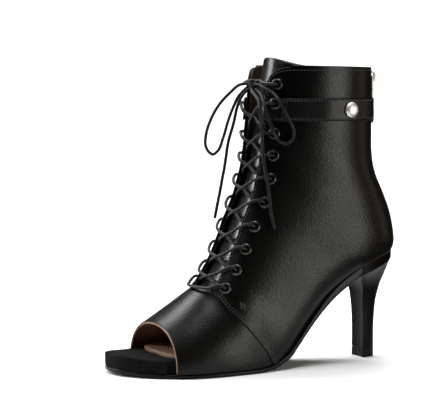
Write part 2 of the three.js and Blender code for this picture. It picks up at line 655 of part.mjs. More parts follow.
function onAxis(geometry, out) {
  return geometry.applyQuaternion(new THREE.Quaternion().setFromUnitVectors(new THREE.Vector3(0, 1, 0), out));
}
function lathe(profile, segments) {
  const points = profile.map(([r, h]) => new THREE.Vector2(r, h));
  return facingOut(mergeLoose(new THREE.LatheGeometry(points, segments)));
}
function mergeLoose(geometry) {
  geometry.deleteAttribute('normal');
  geometry.deleteAttribute('uv');
  return mergeVertices(geometry, 1e-4);
}

// The snap's cap is domed and stands on the tab
const snapPlace = placeAt(strapHeight, snapTurn, 0);
const snapOut = outward(snapPlace, snapTurn);
const snapBase = strapOut + tabRise + strapThickness + gap;
const snap = addMesh('snap', onAxis(lathe([[0, 0], [0.8 * snapRadius, 0], [snapRadius, 0.18 * snapHeight],
  [0.97 * snapRadius, 0.42 * snapHeight], [0.78 * snapRadius, 0.76 * snapHeight],
  [0.4 * snapRadius, 0.96 * snapHeight], [0, snapHeight]], 12), snapOut), silver);
snap.position.copy(upperPoint(snapPlace, snapTurn).addScaledVector(snapOut, snapBase));

// Each eyelet is a ring on the leather with its barrel through it
const barrelEnd = -(wall + quarterStep + 0.5);
const barrelOuter = eyeletBore + eyeletBarrel;
for (const eyelet of eyelets) {
  const end = barrelEnd - (eyelet.row === strapEyelet ? strapThickness + gap : 0);
  const ring = addMesh(eyelet.name, onAxis(lathe([[eyeletBore, end], [barrelOuter, end], [barrelOuter, gap],
    [eyeletRadius, gap], [eyeletBore + gap, gap + eyeletDome], [eyeletBore, end]], 8), eyelet.out), darkMetal);
  ring.position.copy(eyelet.centre);
}

// The zip: a tape behind the slot with its chain standing in the slot
const zipTop = collarHeight - zipEndGap;
const tapeTail = 5; // how far the tape runs on below the slot
const chainSunk = 0.4; // share of the tape's thickness
function zipStrip(width, low, high, foot, steps) {
  return toSolid(slab(steps, 2, (along, across, side) => {
    const height = foot + along * (zipTop - foot);
    const sideways = (across - 0.5) * width || 1e-3;
    const offset = side ? high : low;
    const { place, turn } = findTurn(height, sideways, offset, 0.5);
    return upperPoint(place, turn, offset);
  }));
}
const tapeOut = -(wall + 3 * gap);
const zipTape = zipStrip(zipTapeWidth, tapeOut - zipTapeThickness, tapeOut, zipFoot - tapeTail, 10);
const zipChain = zipStrip(zipChainWidth, tapeOut - chainSunk * zipTapeThickness, gap, zipFoot + 3 * gap, 10);
addMesh('zip_tape', toGeometry(zipTape.add(zipChain)), { color: 0x2a211b, roughness: 0.6, metalness: 0.2 });

// The slider sits at the top of the chain. Its bail is a square arch that the pull hangs in.
const sliderMiddle = zipTop - sliderLength / 2 - 3 * gap;
const chainFace = shaftPoint(sliderMiddle, 0.5, gap).y;
const sliderFace = chainFace + gap + sliderThickness;
const sliderWidth = zipSlotWidth - 3 * gap;

function buildSlider() {
  // half widths as shares of the slider's width, with heights as shares of its length
  const plateRows = [{ half: 0.38, at: -0.5 }, { half: 0.5, at: 0.2 }, { half: 0.3, at: 0.5 }];
  const right = plateRows.map((row) => new THREE.Vector2(row.half * sliderWidth, row.at * sliderLength));
  const left = right.map((p) => new THREE.Vector2(-p.x, p.y)).reverse();
  const plate = new THREE.Shape([...right, ...left]);
  const body = new THREE.ExtrudeGeometry(plate, { depth: sliderThickness, bevelEnabled: false });
  body.rotateX(Math.PI / 2);
  body.translate(0, sliderFace, sliderMiddle);
  const reach = bailOpening + bailWire;
  const foot = 0.76 * reach;
  const crown = 0.55 * reach;
  const arch = new THREE.Shape([[-gap, -foot], [bailOpening / 2, -foot], [reach, -crown], [reach, crown],
    [bailOpening / 2, foot], [-gap, foot]].map(([y, z]) => new THREE.Vector2(y, z)));
  const half = bailOpening / 2;
  arch.holes.push(new THREE.Path([[0, -half], [0, half], [bailOpening, half], [bailOpening, -half]]
    .map(([y, z]) => new THREE.Vector2(y, z))));
  const bail = new THREE.ExtrudeGeometry(arch, { depth: bailWidth, bevelEnabled: false });
  bail.applyMatrix4(new THREE.Matrix4().makeBasis(
    new THREE.Vector3(0, 1, 0), new THREE.Vector3(0, 0, 1), new THREE.Vector3(1, 0, 0)));
  bail.translate(-bailWidth / 2, sliderFace, sliderMiddle);
  return toGeometry(toSolid(body).add(toSolid(bail)));
}
addMesh('zip_slider', buildSlider(), darkMetal);

// The pull hangs from a bar through the bail and turns about that bar
const hinge = new THREE.Vector3(0, sliderFace + bailOpening / 2, sliderMiddle);
const pullBar = 0.75; // half height of the bar in the bail
const pullRail = 1.3; // width of the metal on each side of the pull's eye
function buildPull() {
  const bar = pullBar;
  const eyeHalf = bailWidth / 2 + 0.5;
  const eyeEnd = bailOpening + bailWire + 2 * gap;
  const topHalf = eyeHalf + pullRail;
  const neck = 0.38 * pullWidth;
  const outline = new THREE.Shape();
  outline.moveTo(-topHalf, bar);
  outline.lineTo(-topHalf, -eyeEnd - pullRail);
  outline.lineTo(-neck, -0.55 * pullLength);
  outline.lineTo(-pullWidth / 2, -pullLength + pullWidth);
  outline.absarc(0, -pullLength + pullWidth / 2, pullWidth / 2, Math.PI, 2 * Math.PI, false);
  outline.lineTo(pullWidth / 2, -pullLength + pullWidth);
  outline.lineTo(neck, -0.55 * pullLength);
  outline.lineTo(topHalf, -eyeEnd - pullRail);
  outline.lineTo(topHalf, bar);
  const eye = new THREE.Path();
  eye.moveTo(-eyeHalf, -bar);
  eye.lineTo(eyeHalf, -bar);
  eye.lineTo(eyeHalf, -eyeEnd);
  eye.lineTo(-eyeHalf, -eyeEnd);
  outline.holes.push(eye);
  const hole = new THREE.Path();
  hole.absarc(0, -pullLength + pullWidth / 2, 0.24 * pullWidth, Math.PI, 2 * Math.PI, false);
  hole.lineTo(0.14 * pullWidth, -pullLength + 1.5 * pullWidth);
  hole.lineTo(-0.14 * pullWidth, -pullLength + 1.5 * pullWidth);
  outline.holes.push(hole);
  const settings = { depth: pullThickness, bevelEnabled: false, curveSegments: 6 };
  const geometry = new THREE.ExtrudeGeometry(outline, settings);
  geometry.translate(0, 0, -pullThickness / 2);
  geometry.rotateX(Math.PI / 2);
  return geometry;
}
const pull = addMesh('zip_pull', buildPull(), darkMetal);
pull.position.copy(hinge);

// Lace, round and waxed
const laceLook = { color: 0x1a1817, roughness: 0.6, metalness: 0 };
function cordAlong(points, steps, sides) {
  const section = new THREE.Shape();
  for (let k = 0; k < sides; k += 1) {
    const angle = (2 * Math.PI * k) / sides;
    const x = laceRadius * Math.cos(angle);
    const y = laceRadius * Math.sin(angle);
    if (k === 0) section.moveTo(x, y);
    else section.lineTo(x, y);
  }
  const path = new THREE.CatmullRomCurve3(points, false, 'centripetal');
  return new THREE.ExtrudeGeometry(section, { steps, extrudePath: path, bevelEnabled: false });
}

// Where the lace lies over a flap, and where it runs on under one
const overFlap = quarterStep + gap + laceRadius + laceSlack;
const underFlap = -(wall + gap + laceRadius + laceSlack);
const besideEyelet = eyeletInset - eyeletRadius - gap - laceSlack; // from the throat edge
const eyeletHeight = (k) => throatFoot + eyeletHeights[k] * (collarHeight - throatFoot);

// One strand from under one flap at a lower eyelet to over the other flap at the next
function strand(k, side) {
  const low = eyeletHeight(k);
  const rise = eyeletHeight(k + 1) - low;
  const lift = k + 1 === strapEyelet ? strapThickness + gap : 0;
  const at = (share, sideways, fromEdge, offset) => {
    const height = low + share * rise;
    const x = sideways === 0 ? 1e-3 : sideways * (throatHalf(height) + fromEdge);
    return frontPoint(height, x, offset);
  };
  return toSolid(cordAlong([
    at(0, -side, laceTuck, underFlap),
    at(0.14, -side, -laceRise, underFlap + 0.2 * laceDiameter),
    at(0.5, 0, 0, -0.7 * wall),
    at(0.8, side, -laceOver, overFlap - 0.3 * laceDiameter + lift),
    at(0.93, side, -0.1 * laceOver, overFlap + 0.15 * laceDiameter + lift),
    at(1, side, besideEyelet, overFlap + lift),
  ], 5, 6));
}
const crossings = strapEyelet;
for (let k = 0; k < crossings; k += 1) {
  addMesh(`lace_crossing_${k + 1}`, toGeometry(strand(k, 1).add(strand(k, -1))), laceLook);
}

// The lowest bar lies over the foot of the throat, from eyelet to eyelet
const barHeight = eyeletHeight(0);
const barEnd = throatHalf(barHeight) + besideEyelet;
addMesh('lace_bar', cordAlong([
  frontPoint(barHeight, -barEnd, overFlap),
  frontPoint(barHeight, -0.5 * barEnd, overFlap),
  frontPoint(barHeight, 1e-3, overFlap),
  frontPoint(barHeight, 0.5 * barEnd, overFlap),
  frontPoint(barHeight, barEnd, overFlap),
], 8, 6), laceLook);

// The knot sits between the flaps, with a short arm of lace to each top eyelet
const knotPlace = new THREE.Vector3(0, 31.3, 205.6);
const knotSize = new THREE.Vector3(3.6, 3.0, 3.4);
const armReach = 7; // from the knot's middle to where its arms are highest
const armHeight = eyeletHeight(eyeletHeights.length - 1) + laceRadius - gap;
function knotArm(side) {
  const edge = throatHalf(armHeight);
  return toSolid(cordAlong([
    new THREE.Vector3(side * knotSize.x / 3, knotPlace.y, knotPlace.z + 0.4 * knotSize.z),
    new THREE.Vector3(side * armReach, knotPlace.y + knotSize.y / 2, knotPlace.z + 0.75 * knotSize.z),
    frontPoint(armHeight + laceRadius, side * (edge - 2 * gap), overFlap + 2 * gap),
    frontPoint(armHeight, side * (edge + besideEyelet), overFlap),
  ], 4, 6));
}
const knotBall = new THREE.SphereGeometry(1, 8, 6).scale(knotSize.x, knotSize.y, knotSize.z)
  .translate(knotPlace.x, knotPlace.y, knotPlace.z);
addMesh('lace_knot', toGeometry(toSolid(knotBall).add(knotArm(1)).add(knotArm(-1))), laceLook);

// The bow, as it hangs: each loop leaves the knot and comes back to it
const cordRoutes = {
  lace_loop_lateral: [[4.4, 30.7, 205.2], [9.5, 32.0, 204.8], [14.6, 32.2, 203.2], [22.6, 35.6, 199.4],
    [27.4, 37.2, 195.0], [30.0, 39.4, 189.7], [31.6, 44.6, 179.5], [31.8, 48.0, 171.8], [31.3, 47.6, 166.6],
    [29.6, 43.3, 163.0], [26.4, 38.5, 165.0], [26.6, 34.7, 171.0], [23.4, 31.9, 181.2], [20.4, 30.0, 190.4],
    [13.0, 31.3, 197.6], [5.0, 31.4, 201.4]],
  lace_loop_medial: [[-3.6, 29.5, 206.0], [-7.6, 23.8, 204.6], [-10.6, 18.2, 199.2], [-13.6, 10.8, 190.6],
    [-16.8, 5.1, 178.8], [-19.0, 2.5, 167.8], [-19.8, 2.5, 161.2], [-20.0, 6.0, 155.2], [-19.8, 8.4, 153.9],
    [-19.2, 12.1, 156.3], [-17.5, 15.6, 165.4], [-14.6, 18.5, 178.6], [-11.8, 21.5, 189.1], [-9.2, 24.5, 196.8],
    [-4.3, 29.2, 203.4]],
  lace_end_lateral: [[1.6, 29.2, 202.3], [5.6, 27.6, 199.8], [10.0, 27.6, 197.6], [15.0, 27.6, 194.4],
    [18.4, 27.4, 189.6], [19.8, 27.6, 184.0], [19.8, 28.0, 176.0], [19.6, 28.6, 168.0], [20.4, 28.9, 159.0],
    [22.2, 29.0, 149.0], [25.0, 29.3, 139.5], [26.8, 30.1, 131.0], [28.2, 30.5, 122.0], [29.6, 31.1, 112.5],
    [31.4, 32.4, 103.4]],
  lace_end_medial: [[-1.3, 29.8, 202.6], [-2.4, 25.8, 199.2], [-3.4, 23.8, 196.2], [-4.8, 22.2, 192.0],
    [-6.4, 21.2, 187.0], [-8.0, 20.6, 181.0], [-9.4, 19.6, 174.5], [-11.0, 18.0, 167.5], [-12.2, 16.7, 160.0],
    [-13.0, 15.9, 152.0], [-13.6, 14.8, 144.0], [-14.2, 13.4, 136.0], [-14.8, 11.9, 127.0],
    [-15.4, 10.2, 118.0], [-16.0, 8.4, 108.2]],
};
for (const [name, route] of Object.entries(cordRoutes)) {
  const points = route.map(([x, y, z]) => new THREE.Vector3(x, y, z));
  addMesh(name, cordAlong(points, 18, 8), laceLook);
}

export default boot;
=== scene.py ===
import math

import bpy
import numpy as np
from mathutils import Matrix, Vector, geometry, kdtree


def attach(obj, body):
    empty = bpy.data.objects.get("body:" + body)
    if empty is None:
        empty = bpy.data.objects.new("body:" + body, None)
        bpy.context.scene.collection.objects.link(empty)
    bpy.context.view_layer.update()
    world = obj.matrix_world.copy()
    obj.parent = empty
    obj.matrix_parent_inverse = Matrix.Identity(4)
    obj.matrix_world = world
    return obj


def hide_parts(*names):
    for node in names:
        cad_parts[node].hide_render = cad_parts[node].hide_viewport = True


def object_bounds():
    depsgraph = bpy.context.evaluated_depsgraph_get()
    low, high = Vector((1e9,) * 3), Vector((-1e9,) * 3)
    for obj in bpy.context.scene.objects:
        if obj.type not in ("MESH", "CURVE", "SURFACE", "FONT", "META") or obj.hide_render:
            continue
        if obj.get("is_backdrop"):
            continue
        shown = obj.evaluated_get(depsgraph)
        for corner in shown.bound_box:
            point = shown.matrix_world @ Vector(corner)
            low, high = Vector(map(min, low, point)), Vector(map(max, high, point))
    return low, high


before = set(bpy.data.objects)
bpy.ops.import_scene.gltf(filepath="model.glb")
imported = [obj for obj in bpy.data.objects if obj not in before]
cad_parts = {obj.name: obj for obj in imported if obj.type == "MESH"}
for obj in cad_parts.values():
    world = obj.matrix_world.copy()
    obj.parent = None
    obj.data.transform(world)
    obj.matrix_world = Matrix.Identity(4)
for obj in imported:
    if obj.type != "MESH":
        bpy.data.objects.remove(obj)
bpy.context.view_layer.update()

MM = 0.001

# The set: a strip of pale paper that curves up behind the boot, in a dim studio with large soft
# lights. The camera stands at the photograph's angle, to the front of the boot's outer side.
CAMERA_PLACE = (1.1645, -0.5661, 0.2184)
CAMERA_TURN = math.radians(64)
CAMERA_DIP = math.radians(4.574)
CAMERA_DISTANCE = 1.295
FOCAL_PIXELS = 1800
IMAGE_WIDTH = 433
SENSOR = 36
camera_data = bpy.data.cameras.new("camera")
camera_data.sensor_width = SENSOR
camera_data.lens = FOCAL_PIXELS / IMAGE_WIDTH * SENSOR
camera = bpy.data.objects.new("camera", camera_data)
bpy.context.scene.view_settings.view_transform = "Standard"
camera.location = CAMERA_PLACE
camera.rotation_euler = (math.pi / 2 - CAMERA_DIP, 0, CAMERA_TURN)
bpy.context.scene.collection.objects.link(camera)
bpy.context.scene.camera = camera


def add_mesh(name, points, faces, smooth=True):
    mesh = bpy.data.meshes.new(name)
    mesh.from_pydata([tuple(p) for p in points], [], [tuple(f) for f in faces])
    mesh.validate()
    mesh.polygons.foreach_set("use_smooth", [smooth] * len(mesh.polygons))
    mesh.update()
    piece = bpy.data.objects.new(name, mesh)
    bpy.context.scene.collection.objects.link(piece)
    return piece


class Value:
    """A shader socket that takes part in sums."""

    def __init__(self, finish, socket):
        self.finish = finish
        self.socket = socket

    def _sum(self, operation, first, second):
        return self.finish.node("ShaderNodeMath", {"operation": operation}, {0: first, 1: second})

    def __add__(self, other):
        return self._sum("ADD", self, other)

    def __radd__(self, other):
        return self._sum("ADD", other, self)

    def __sub__(self, other):
        return self._sum("SUBTRACT", self, other)

    def __rsub__(self, other):
        return self._sum("SUBTRACT", other, self)

    def __mul__(self, other):
        return self._sum("MULTIPLY", self, other)

    def __rmul__(self, other):
        return self._sum("MULTIPLY", other, self)


class Finish:
    """A material: its nodes are added by node(), and set() gives the surface its values."""

    def __init__(self, name):
        self.material = bpy.data.materials.new(name)
        self.material.use_nodes = True
        self.tree = self.material.node_tree
        self.surface = self.tree.nodes["Principled BSDF"]

    def plug(self, socket, value):
        if isinstance(value, Value):
            self.tree.links.new(value.socket, socket)
        else:
            socket.default_value = value

    def node(self, kind, settings=None, sockets=None, out=0):
        made = self.tree.nodes.new(kind)
        for key, value in (settings or {}).items():
            setattr(made, key, value)
        for key, value in (sockets or {}).items():
            self.plug(made.inputs[key], value)
        return Value(self, made.outputs[out])

    def place(self):
        return self.node("ShaderNodeTexCoord", out="Object")

    def noise(self, scale, detail=2.0, rough=0.5):
        return self.node("ShaderNodeTexNoise", {}, {"Vector": self.place(), "Scale": scale,
                         "Detail": detail, "Roughness": rough})

    def cells(self, scale):
        return self.node("ShaderNodeTexVoronoi", {}, {"Vector": self.place(), "Scale": scale})

    def steps(self, value, low, high):
        """0 below the low value, 1 above the high one and even between them."""
        return self.node("ShaderNodeMapRange", {}, {"Value": value, "From Min": low, "From Max": high})

    def blend(self, share, first, second):
        return self.node("ShaderNodeMix", {"data_type": "RGBA"}, {0: share, 6: first, 7: second}, out=2)

    def bump(self, height, depth, strength, under=None):
        sockets = {"Height": height, "Distance": depth, "Strength": strength}
        if under:
            sockets["Normal"] = under
        return self.node("ShaderNodeBump", {}, sockets)

    def set(self, **values):
        for key, value in values.items():
            self.plug(self.surface.inputs[key.replace("_", " ").title().replace("Ior", "IOR")], value)
        return self.material


SWEEP_FRONT = -0.3
SWEEP_BEND = 1.5
SWEEP_CURVE = 0.9
SWEEP_SPREAD = 0.145
SWEEP_STEPS = 10
STEPS_TO_UPRIGHT = 16
sweep_profile = [(SWEEP_FRONT, 0.0), (0.0, 0.0), (0.4, 0.0), (0.9, 0.0), (SWEEP_BEND, 0.0)]
for step in range(1, SWEEP_STEPS + 1):
    angle = step / STEPS_TO_UPRIGHT * math.pi / 2
    sweep_profile.append((SWEEP_BEND + SWEEP_CURVE * math.sin(angle), SWEEP_CURVE * (1 - math.cos(angle))))
away = Vector((-CAMERA_PLACE[0], -CAMERA_PLACE[1], 0)).normalized()
aside = Vector((-away.y, away.x, 0))
sweep_points, sweep_faces = [], []
for forward, height in sweep_profile:
    half_width = SWEEP_SPREAD * (forward + CAMERA_DISTANCE)
    for sideways in (-half_width, half_width):
        sweep_points.append(away * forward + aside * sideways + Vector((0, 0, height)))
for r in range(0, 2 * len(sweep_profile) - 2, 2):
    sweep_faces.append((r, r + 1, r + 3, r + 2))
sweep = add_mesh("floor_sweep", sweep_points, sweep_faces)
paper = Finish("pale_paper")
paper_tone = paper.noise(3.0)
sweep.data.materials.append(paper.set(
    base_color=paper.blend(paper_tone, (0.94, 0.94, 0.94, 1), (0.96, 0.96, 0.96, 1)), roughness=0.8))
sweep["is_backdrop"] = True


def soft_light(name, place, aim, size, power, colour=(1, 1, 1)):
    data = bpy.data.lights.new(name, "AREA")
    data.shape = "RECTANGLE"
    data.size, data.size_y = size
    data.energy = power
    data.color = colour
    lamp = bpy.data.objects.new(name, data)
    lamp.location = place
    lamp.rotation_euler = (Vector(aim) - Vector(place)).to_track_quat("-Z", "Y").to_euler()
    bpy.context.scene.collection.objects.link(lamp)


BOOT_MIDDLE = (0.0, 0.03, 0.11)
BACKDROP_MIDDLE = (-1.9, 0.95, 0.1)
soft_light("overhead", (0.1, 0.15, 1.9), BOOT_MIDDLE, (1.1, 1.1), 38)
soft_light("outer_side", (1.36, 0.97, 0.06), BOOT_MIDDLE, (0.36, 0.9), 16, (1.0, 0.98, 0.93))
soft_light("toe_side", (0.35, -1.3, 1.3), BOOT_MIDDLE, (0.5, 0.8), 3)
soft_light("inner_side", (-1.15, -0.42, 1.3), BOOT_MIDDLE, (0.45, 0.45), 13)
soft_light("tongue_side", (-0.83, -1.06, 0.62), BOOT_MIDDLE, (0.22, 0.9), 20)
soft_light("heel_side", (0.34, 1.55, 0.25), BOOT_MIDDLE, (0.2, 0.9), 1.4, (1.0, 0.8, 0.62))
soft_light("backdrop_wash", (-0.9, 0.45, 1.9), BACKDROP_MIDDLE, (1.0, 1.0), 40)
world = bpy.data.worlds.new("studio_air")
bpy.context.scene.world = world
world.use_nodes = True
world.node_tree.nodes["Background"].inputs["Color"].default_value = (1, 1, 1, 1)
world.node_tree.nodes["Background"].inputs["Strength"].default_value = 0.03

# The last that the upper is pulled over, as a table of sections from the open toe to the collar, and
# the line of the sole under it. All of it is in millimetres until a mesh is made.
FOOT_LENGTH = 225
BALL_WIDTH = 83
ANKLE_WIDTH = 64
COLLAR_WIDTH = 71
HEEL_HEIGHT = 81
INSTEP_HEIGHT = 63
COLLAR_HEIGHT = 217.5
SOLE_THICKNESS = 3.1
GAP = 0.3
BELOW_SOLE_LINE = 12

# columns: y and the two sides as shares, the underside's height, and the edge's thickness
SOLE_ROWS = np.array([
    (-0.352, -0.040, -0.170, 0.030, 0.90), (-0.346, 0.040, -0.230, 0.028, 0.92),
    (-0.330, 0.120, -0.285, 0.022, 0.95), (-0.306, 0.205, -0.338, 0.014, 1.00),
    (-0.278, 0.280, -0.385, 0.006, 1.00), (-0.245, 0.345, -0.425, 0.001, 1.00),
    (-0.208, 0.405, -0.455, 0.000, 1.00), (-0.160, 0.460, -0.475, 0.000, 1.00),
    (-0.100, 0.495, -0.478, 0.000, 1.00), (-0.023, 0.492, -0.458, 0.000, 1.00),
    (0.065, 0.468, -0.412, 0.000, 1.00), (0.130, 0.430, -0.362, 0.014, 1.10),
    (0.176, 0.402, -0.332, 0.055, 1.30), (0.213, 0.385, -0.316, 0.124, 1.50),
    (0.264, 0.365, -0.304, 0.286, 1.65), (0.308, 0.352, -0.303, 0.425, 1.80),
    (0.367, 0.338, -0.312, 0.582, 2.25), (0.430, 0.328, -0.318, 0.706, 2.40),
    (0.485, 0.322, -0.316, 0.792, 2.40), (0.551, 0.284, -0.282, 0.862, 2.40),
    (0.597, 0.215, -0.215, 0.890, 2.40), (0.625, 0.126, -0.126, 0.902, 2.40),
    (0.640, 0.045, -0.045, 0.908, 2.40)])


def read_rows(rows, place):
    """A smooth curve through the rows of a table, at row numbers that need not be whole."""
    last = len(rows) - 1
    here = np.clip(np.asarray(place, float), 0, last)
    i = np.minimum(here.astype(int), last - 1)
    t = (here - i)[..., None]
    before, first = rows[np.maximum(i - 1, 0)], rows[i]
    second, after = rows[i + 1], rows[np.minimum(i + 2, last)]
    slope_in, slope_out, rise = (second - before) / 2, (after - first) / 2, second - first
    return first + t * (slope_in + t * (3 * rise - 2 * slope_in - slope_out
                                        + t * (slope_in + slope_out - 2 * rise)))


SOLE_PLACES = np.linspace(0, len(SOLE_ROWS) - 1, 2001)
SOLE_ALONG = read_rows(SOLE_ROWS, SOLE_PLACES)[:, 0]


def sole_at(y):
    """The sole's two sides, underside and top at places along the foot."""
    share = np.asarray(y, float) / FOOT_LENGTH
    place = np.interp(share, SOLE_ALONG, SOLE_PLACES)
    row = read_rows(SOLE_ROWS, place)
    under = row[..., 3] * HEEL_HEIGHT
    return row[..., 1] * BALL_WIDTH, row[..., 2] * BALL_WIDTH, under, under + row[..., 4] * SOLE_THICKNESS


def feather_line(y):
    return sole_at(y)[3] + GAP


# columns: back y, seat, front y, front, width, lateral, medial, widest, low, high, lean, skew
SECTION_ROWS = np.array([
    (-0.216, 0, -0.210, 0.573, BALL_WIDTH, 0.435, 0.447, 0.30, 4.0, 2.25, -0.030, 0.07),
    (-0.140, 0, -0.158, 0.695, BALL_WIDTH, 0.487, 0.478, 0.32, 4.0, 2.20, -0.030, 0.04),
    (-0.037, 0, -0.096, 0.865, BALL_WIDTH, 0.500, 0.472, 0.32, 3.8, 2.10, -0.020, 0),
    (0.065, 0, -0.052, 0.990, BALL_WIDTH, 0.480, 0.430, 0.32, 3.6, 2.20, -0.010, 0),
    (0.149, 0, -0.020, 1.065, BALL_WIDTH, 0.445, 0.388, 0.34, 3.4, 2.50, 0, 0),
    (0.224, 0, 0.008, 1.134, ANKLE_WIDTH, 0.530, 0.465, 0.36, 3.2, 2.75, 0, 0),
    (0.308, 0, 0.033, 1.214, ANKLE_WIDTH, 0.508, 0.462, 0.38, 3.0, 2.80, 0, 0),
    (0.392, 0, 0.054, 1.294, ANKLE_WIDTH, 0.500, 0.466, 0.40, 2.9, 2.80, 0, 0),
    (0.485, 0, 0.074, 1.362, ANKLE_WIDTH, 0.500, 0.470, 0.40, 2.8, 2.80, 0, 0),
    (0.575, 0, 0.091, 1.424, ANKLE_WIDTH, 0.506, 0.482, 0.40, 2.7, 2.80, 0, 0),
    (0.637, 1.010, 0.102, 1.480, ANKLE_WIDTH, 0.508, 0.490, 0.42, 2.5, 2.75, 0, 0),
    (0.642, 1.105, 0.113, 1.535, ANKLE_WIDTH, 0.506, 0.490, 0.44, 2.4, 2.70, 0, 0),
    (0.629, 1.210, 0.120, 1.590, ANKLE_WIDTH, 0.500, 0.490, 0.46, 2.3, 2.60, 0, 0),
    (0.602, 1.314, 0.125, 1.645, ANKLE_WIDTH, 0.500, 0.494, 0.48, 2.3, 2.50, 0, 0),
    (0.572, 1.422, 0.129, 1.700, ANKLE_WIDTH, 0.508, 0.502, 0.50, 2.3, 2.40, 0, 0),
    (0.557, 1.545, 0.131, 1.760, COLLAR_WIDTH, 0.472, 0.468, 0.50, 2.3, 2.20, 0, 0),
    (0.552, 1.676, 0.137, 1.828, COLLAR_WIDTH, 0.486, 0.482, 0.50, 2.3, 2.20, 0, 0),
    (0.551, 1.814, 0.142, 1.902, COLLAR_WIDTH, 0.494, 0.492, 0.50, 2.3, 2.20, 0, 0),
    (0.549, 2.000, 0.149, 2.012, COLLAR_WIDTH, 0.500, 0.500, 0.50, 2.3, 2.20, 0, 0)])
TOP_PLACE = len(SECTION_ROWS) - 1


def between(share, low, high):
    return np.where(share <= 1, share * low, low + (share - 1) * (high - low))


section = SECTION_ROWS.T
closed = (section[1] > 0).astype(float)
SECTION_SIZES = np.array([
    section[0] * FOOT_LENGTH,
    np.where(closed > 0, between(section[1], HEEL_HEIGHT, COLLAR_HEIGHT),
             feather_line(section[0] * FOOT_LENGTH) - BELOW_SOLE_LINE),
    closed, section[2] * FOOT_LENGTH, between(section[3], INSTEP_HEIGHT, COLLAR_HEIGHT),
    section[5] * section[4], section[6] * section[4], section[7], section[8], section[9],
    section[10] * BALL_WIDTH, section[11]]).T


def last_point(place, turn, offset=0.0):
    """Points of the last's face, or off it. turn is 0 in front and 0.5 at the back, by the outer side."""
    place, turn, offset = np.broadcast_arrays(np.asarray(place, float), turn, offset)
    s = np.moveaxis(read_rows(SECTION_SIZES, place), -1, 0)
    back_y, back_z, shut, front_y, front_z, lateral, medial, widest, low, high, lean, skew = s
    span_y, span_z = front_y - back_y, front_z - back_z
    span = np.hypot(span_y, span_z)
    lower = widest * span + offset * np.clip(shut, 0, 1)
    upper = (1 - widest) * span + offset
    angle = 2 * np.pi * turn
    side = np.where(np.sin(angle) >= 0, lateral, medial)
    full = np.where(np.cos(angle) >= 0, high, low)
    reach = np.abs(np.cos(angle)) ** (2 / full)
    width = np.sign(np.sin(angle)) * np.abs(np.sin(angle)) ** (2 / full)
    along = np.where(np.cos(angle) >= 0, reach * upper, -reach * lower)
    t = widest + along / span
    x = width * (side + offset) + lean * (np.maximum(along, 0) / upper) ** 1.5
    return np.stack([x, back_y + t * span_y + skew * x, back_z + t * span_z], -1)


def last_out(place, turn):
    """The directions that face out."""
    step = 0.01
    place = np.clip(place, step, TOP_PLACE - step)
    up = last_point(place + step, turn) - last_point(place - step, turn)
    round_it = last_point(place, turn + step / 2) - last_point(place, turn - step / 2)
    out = np.cross(round_it, up)
    return out / np.linalg.norm(out, axis=-1, keepdims=True)


def find_on_last(wanted, axes, turns, offset=0.0):
    """Place and turn where two coordinates have the wanted values, between two turns.

    It starts at the nearest of a grid of spots and closes in on each value step by step."""
    wanted = np.atleast_2d(np.asarray(wanted, float))
    offset = np.broadcast_to(offset, len(wanted))
    places, spins = np.meshgrid(np.linspace(0, TOP_PLACE, 90), np.linspace(*turns, 60), indexing="ij")
    grid = last_point(places, spins, offset.mean())[..., axes].reshape(-1, 2)
    nearest = np.array([np.argmin(((grid - w) ** 2).sum(1)) for w in wanted])
    found = np.stack([places.ravel()[nearest], spins.ravel()[nearest]], -1)
    step = (2e-3, 2e-5)
    longest = np.array((0.6, 0.03))
    for _ in range(12):
        here = last_point(found[:, 0], found[:, 1], offset)[:, axes]
        by_place = (last_point(found[:, 0] - step[0], found[:, 1], offset)[:, axes] - here) / -step[0]
        by_turn = (last_point(found[:, 0], found[:, 1] + step[1], offset)[:, axes] - here) / step[1]
        miss = wanted - here
        det = by_place[:, 0] * by_turn[:, 1] - by_place[:, 1] * by_turn[:, 0]
        det = np.where(np.abs(det) < 1e-6, 1e-6, det)
        move = np.stack([(miss[:, 0] * by_turn[:, 1] - miss[:, 1] * by_turn[:, 0]) / det,
                         (by_place[:, 0] * miss[:, 1] - by_place[:, 1] * miss[:, 0]) / det], -1)
        found = found + np.clip(move, -longest, longest)
        found[:, 0] = np.clip(found[:, 0], 0, TOP_PLACE)
        found[:, 1] = np.clip(found[:, 1], min(turns) - 0.01, max(turns) + 0.01)
    return found


def across_last(heights, sideways, offset, turns):
    """Points on the last, or off it, at heights and at distances to either side of its middle."""
    heights, sideways, offset = np.broadcast_arrays(np.asarray(heights, float), sideways, offset)
    points = np.empty(heights.shape + (3,))
    for side in (1, -1):
        mine = sideways * side >= 0
        if mine.any():
            wanted = np.stack([sideways[mine], heights[mine]], -1)
            at = find_on_last(wanted, (0, 2), (side * turns[0], side * turns[1]), offset[mine])
            points[mine] = last_point(at[:, 0], at[:, 1], offset[mine])
    return points


def front_of_last(heights, sideways, offset):
    """Points in front of the boot or inside it, carried straight up above the collar."""
    points = across_last(np.minimum(heights, COLLAR_HEIGHT + 0.9), sideways, offset, (0, 0.25))
    points[..., 2] = heights
    return points


def close_in(low, high, passes, rounds=40):
    """Two bounds halved down onto the value where a test goes from true to false."""
    for _ in range(rounds):
        middle = (low + high) / 2
        good = passes(middle)
        low, high = np.where(good, middle, low), np.where(good, high, middle)
    return low, high


def above_sole(points):
    return points[..., 2] > feather_line(points[..., 1])


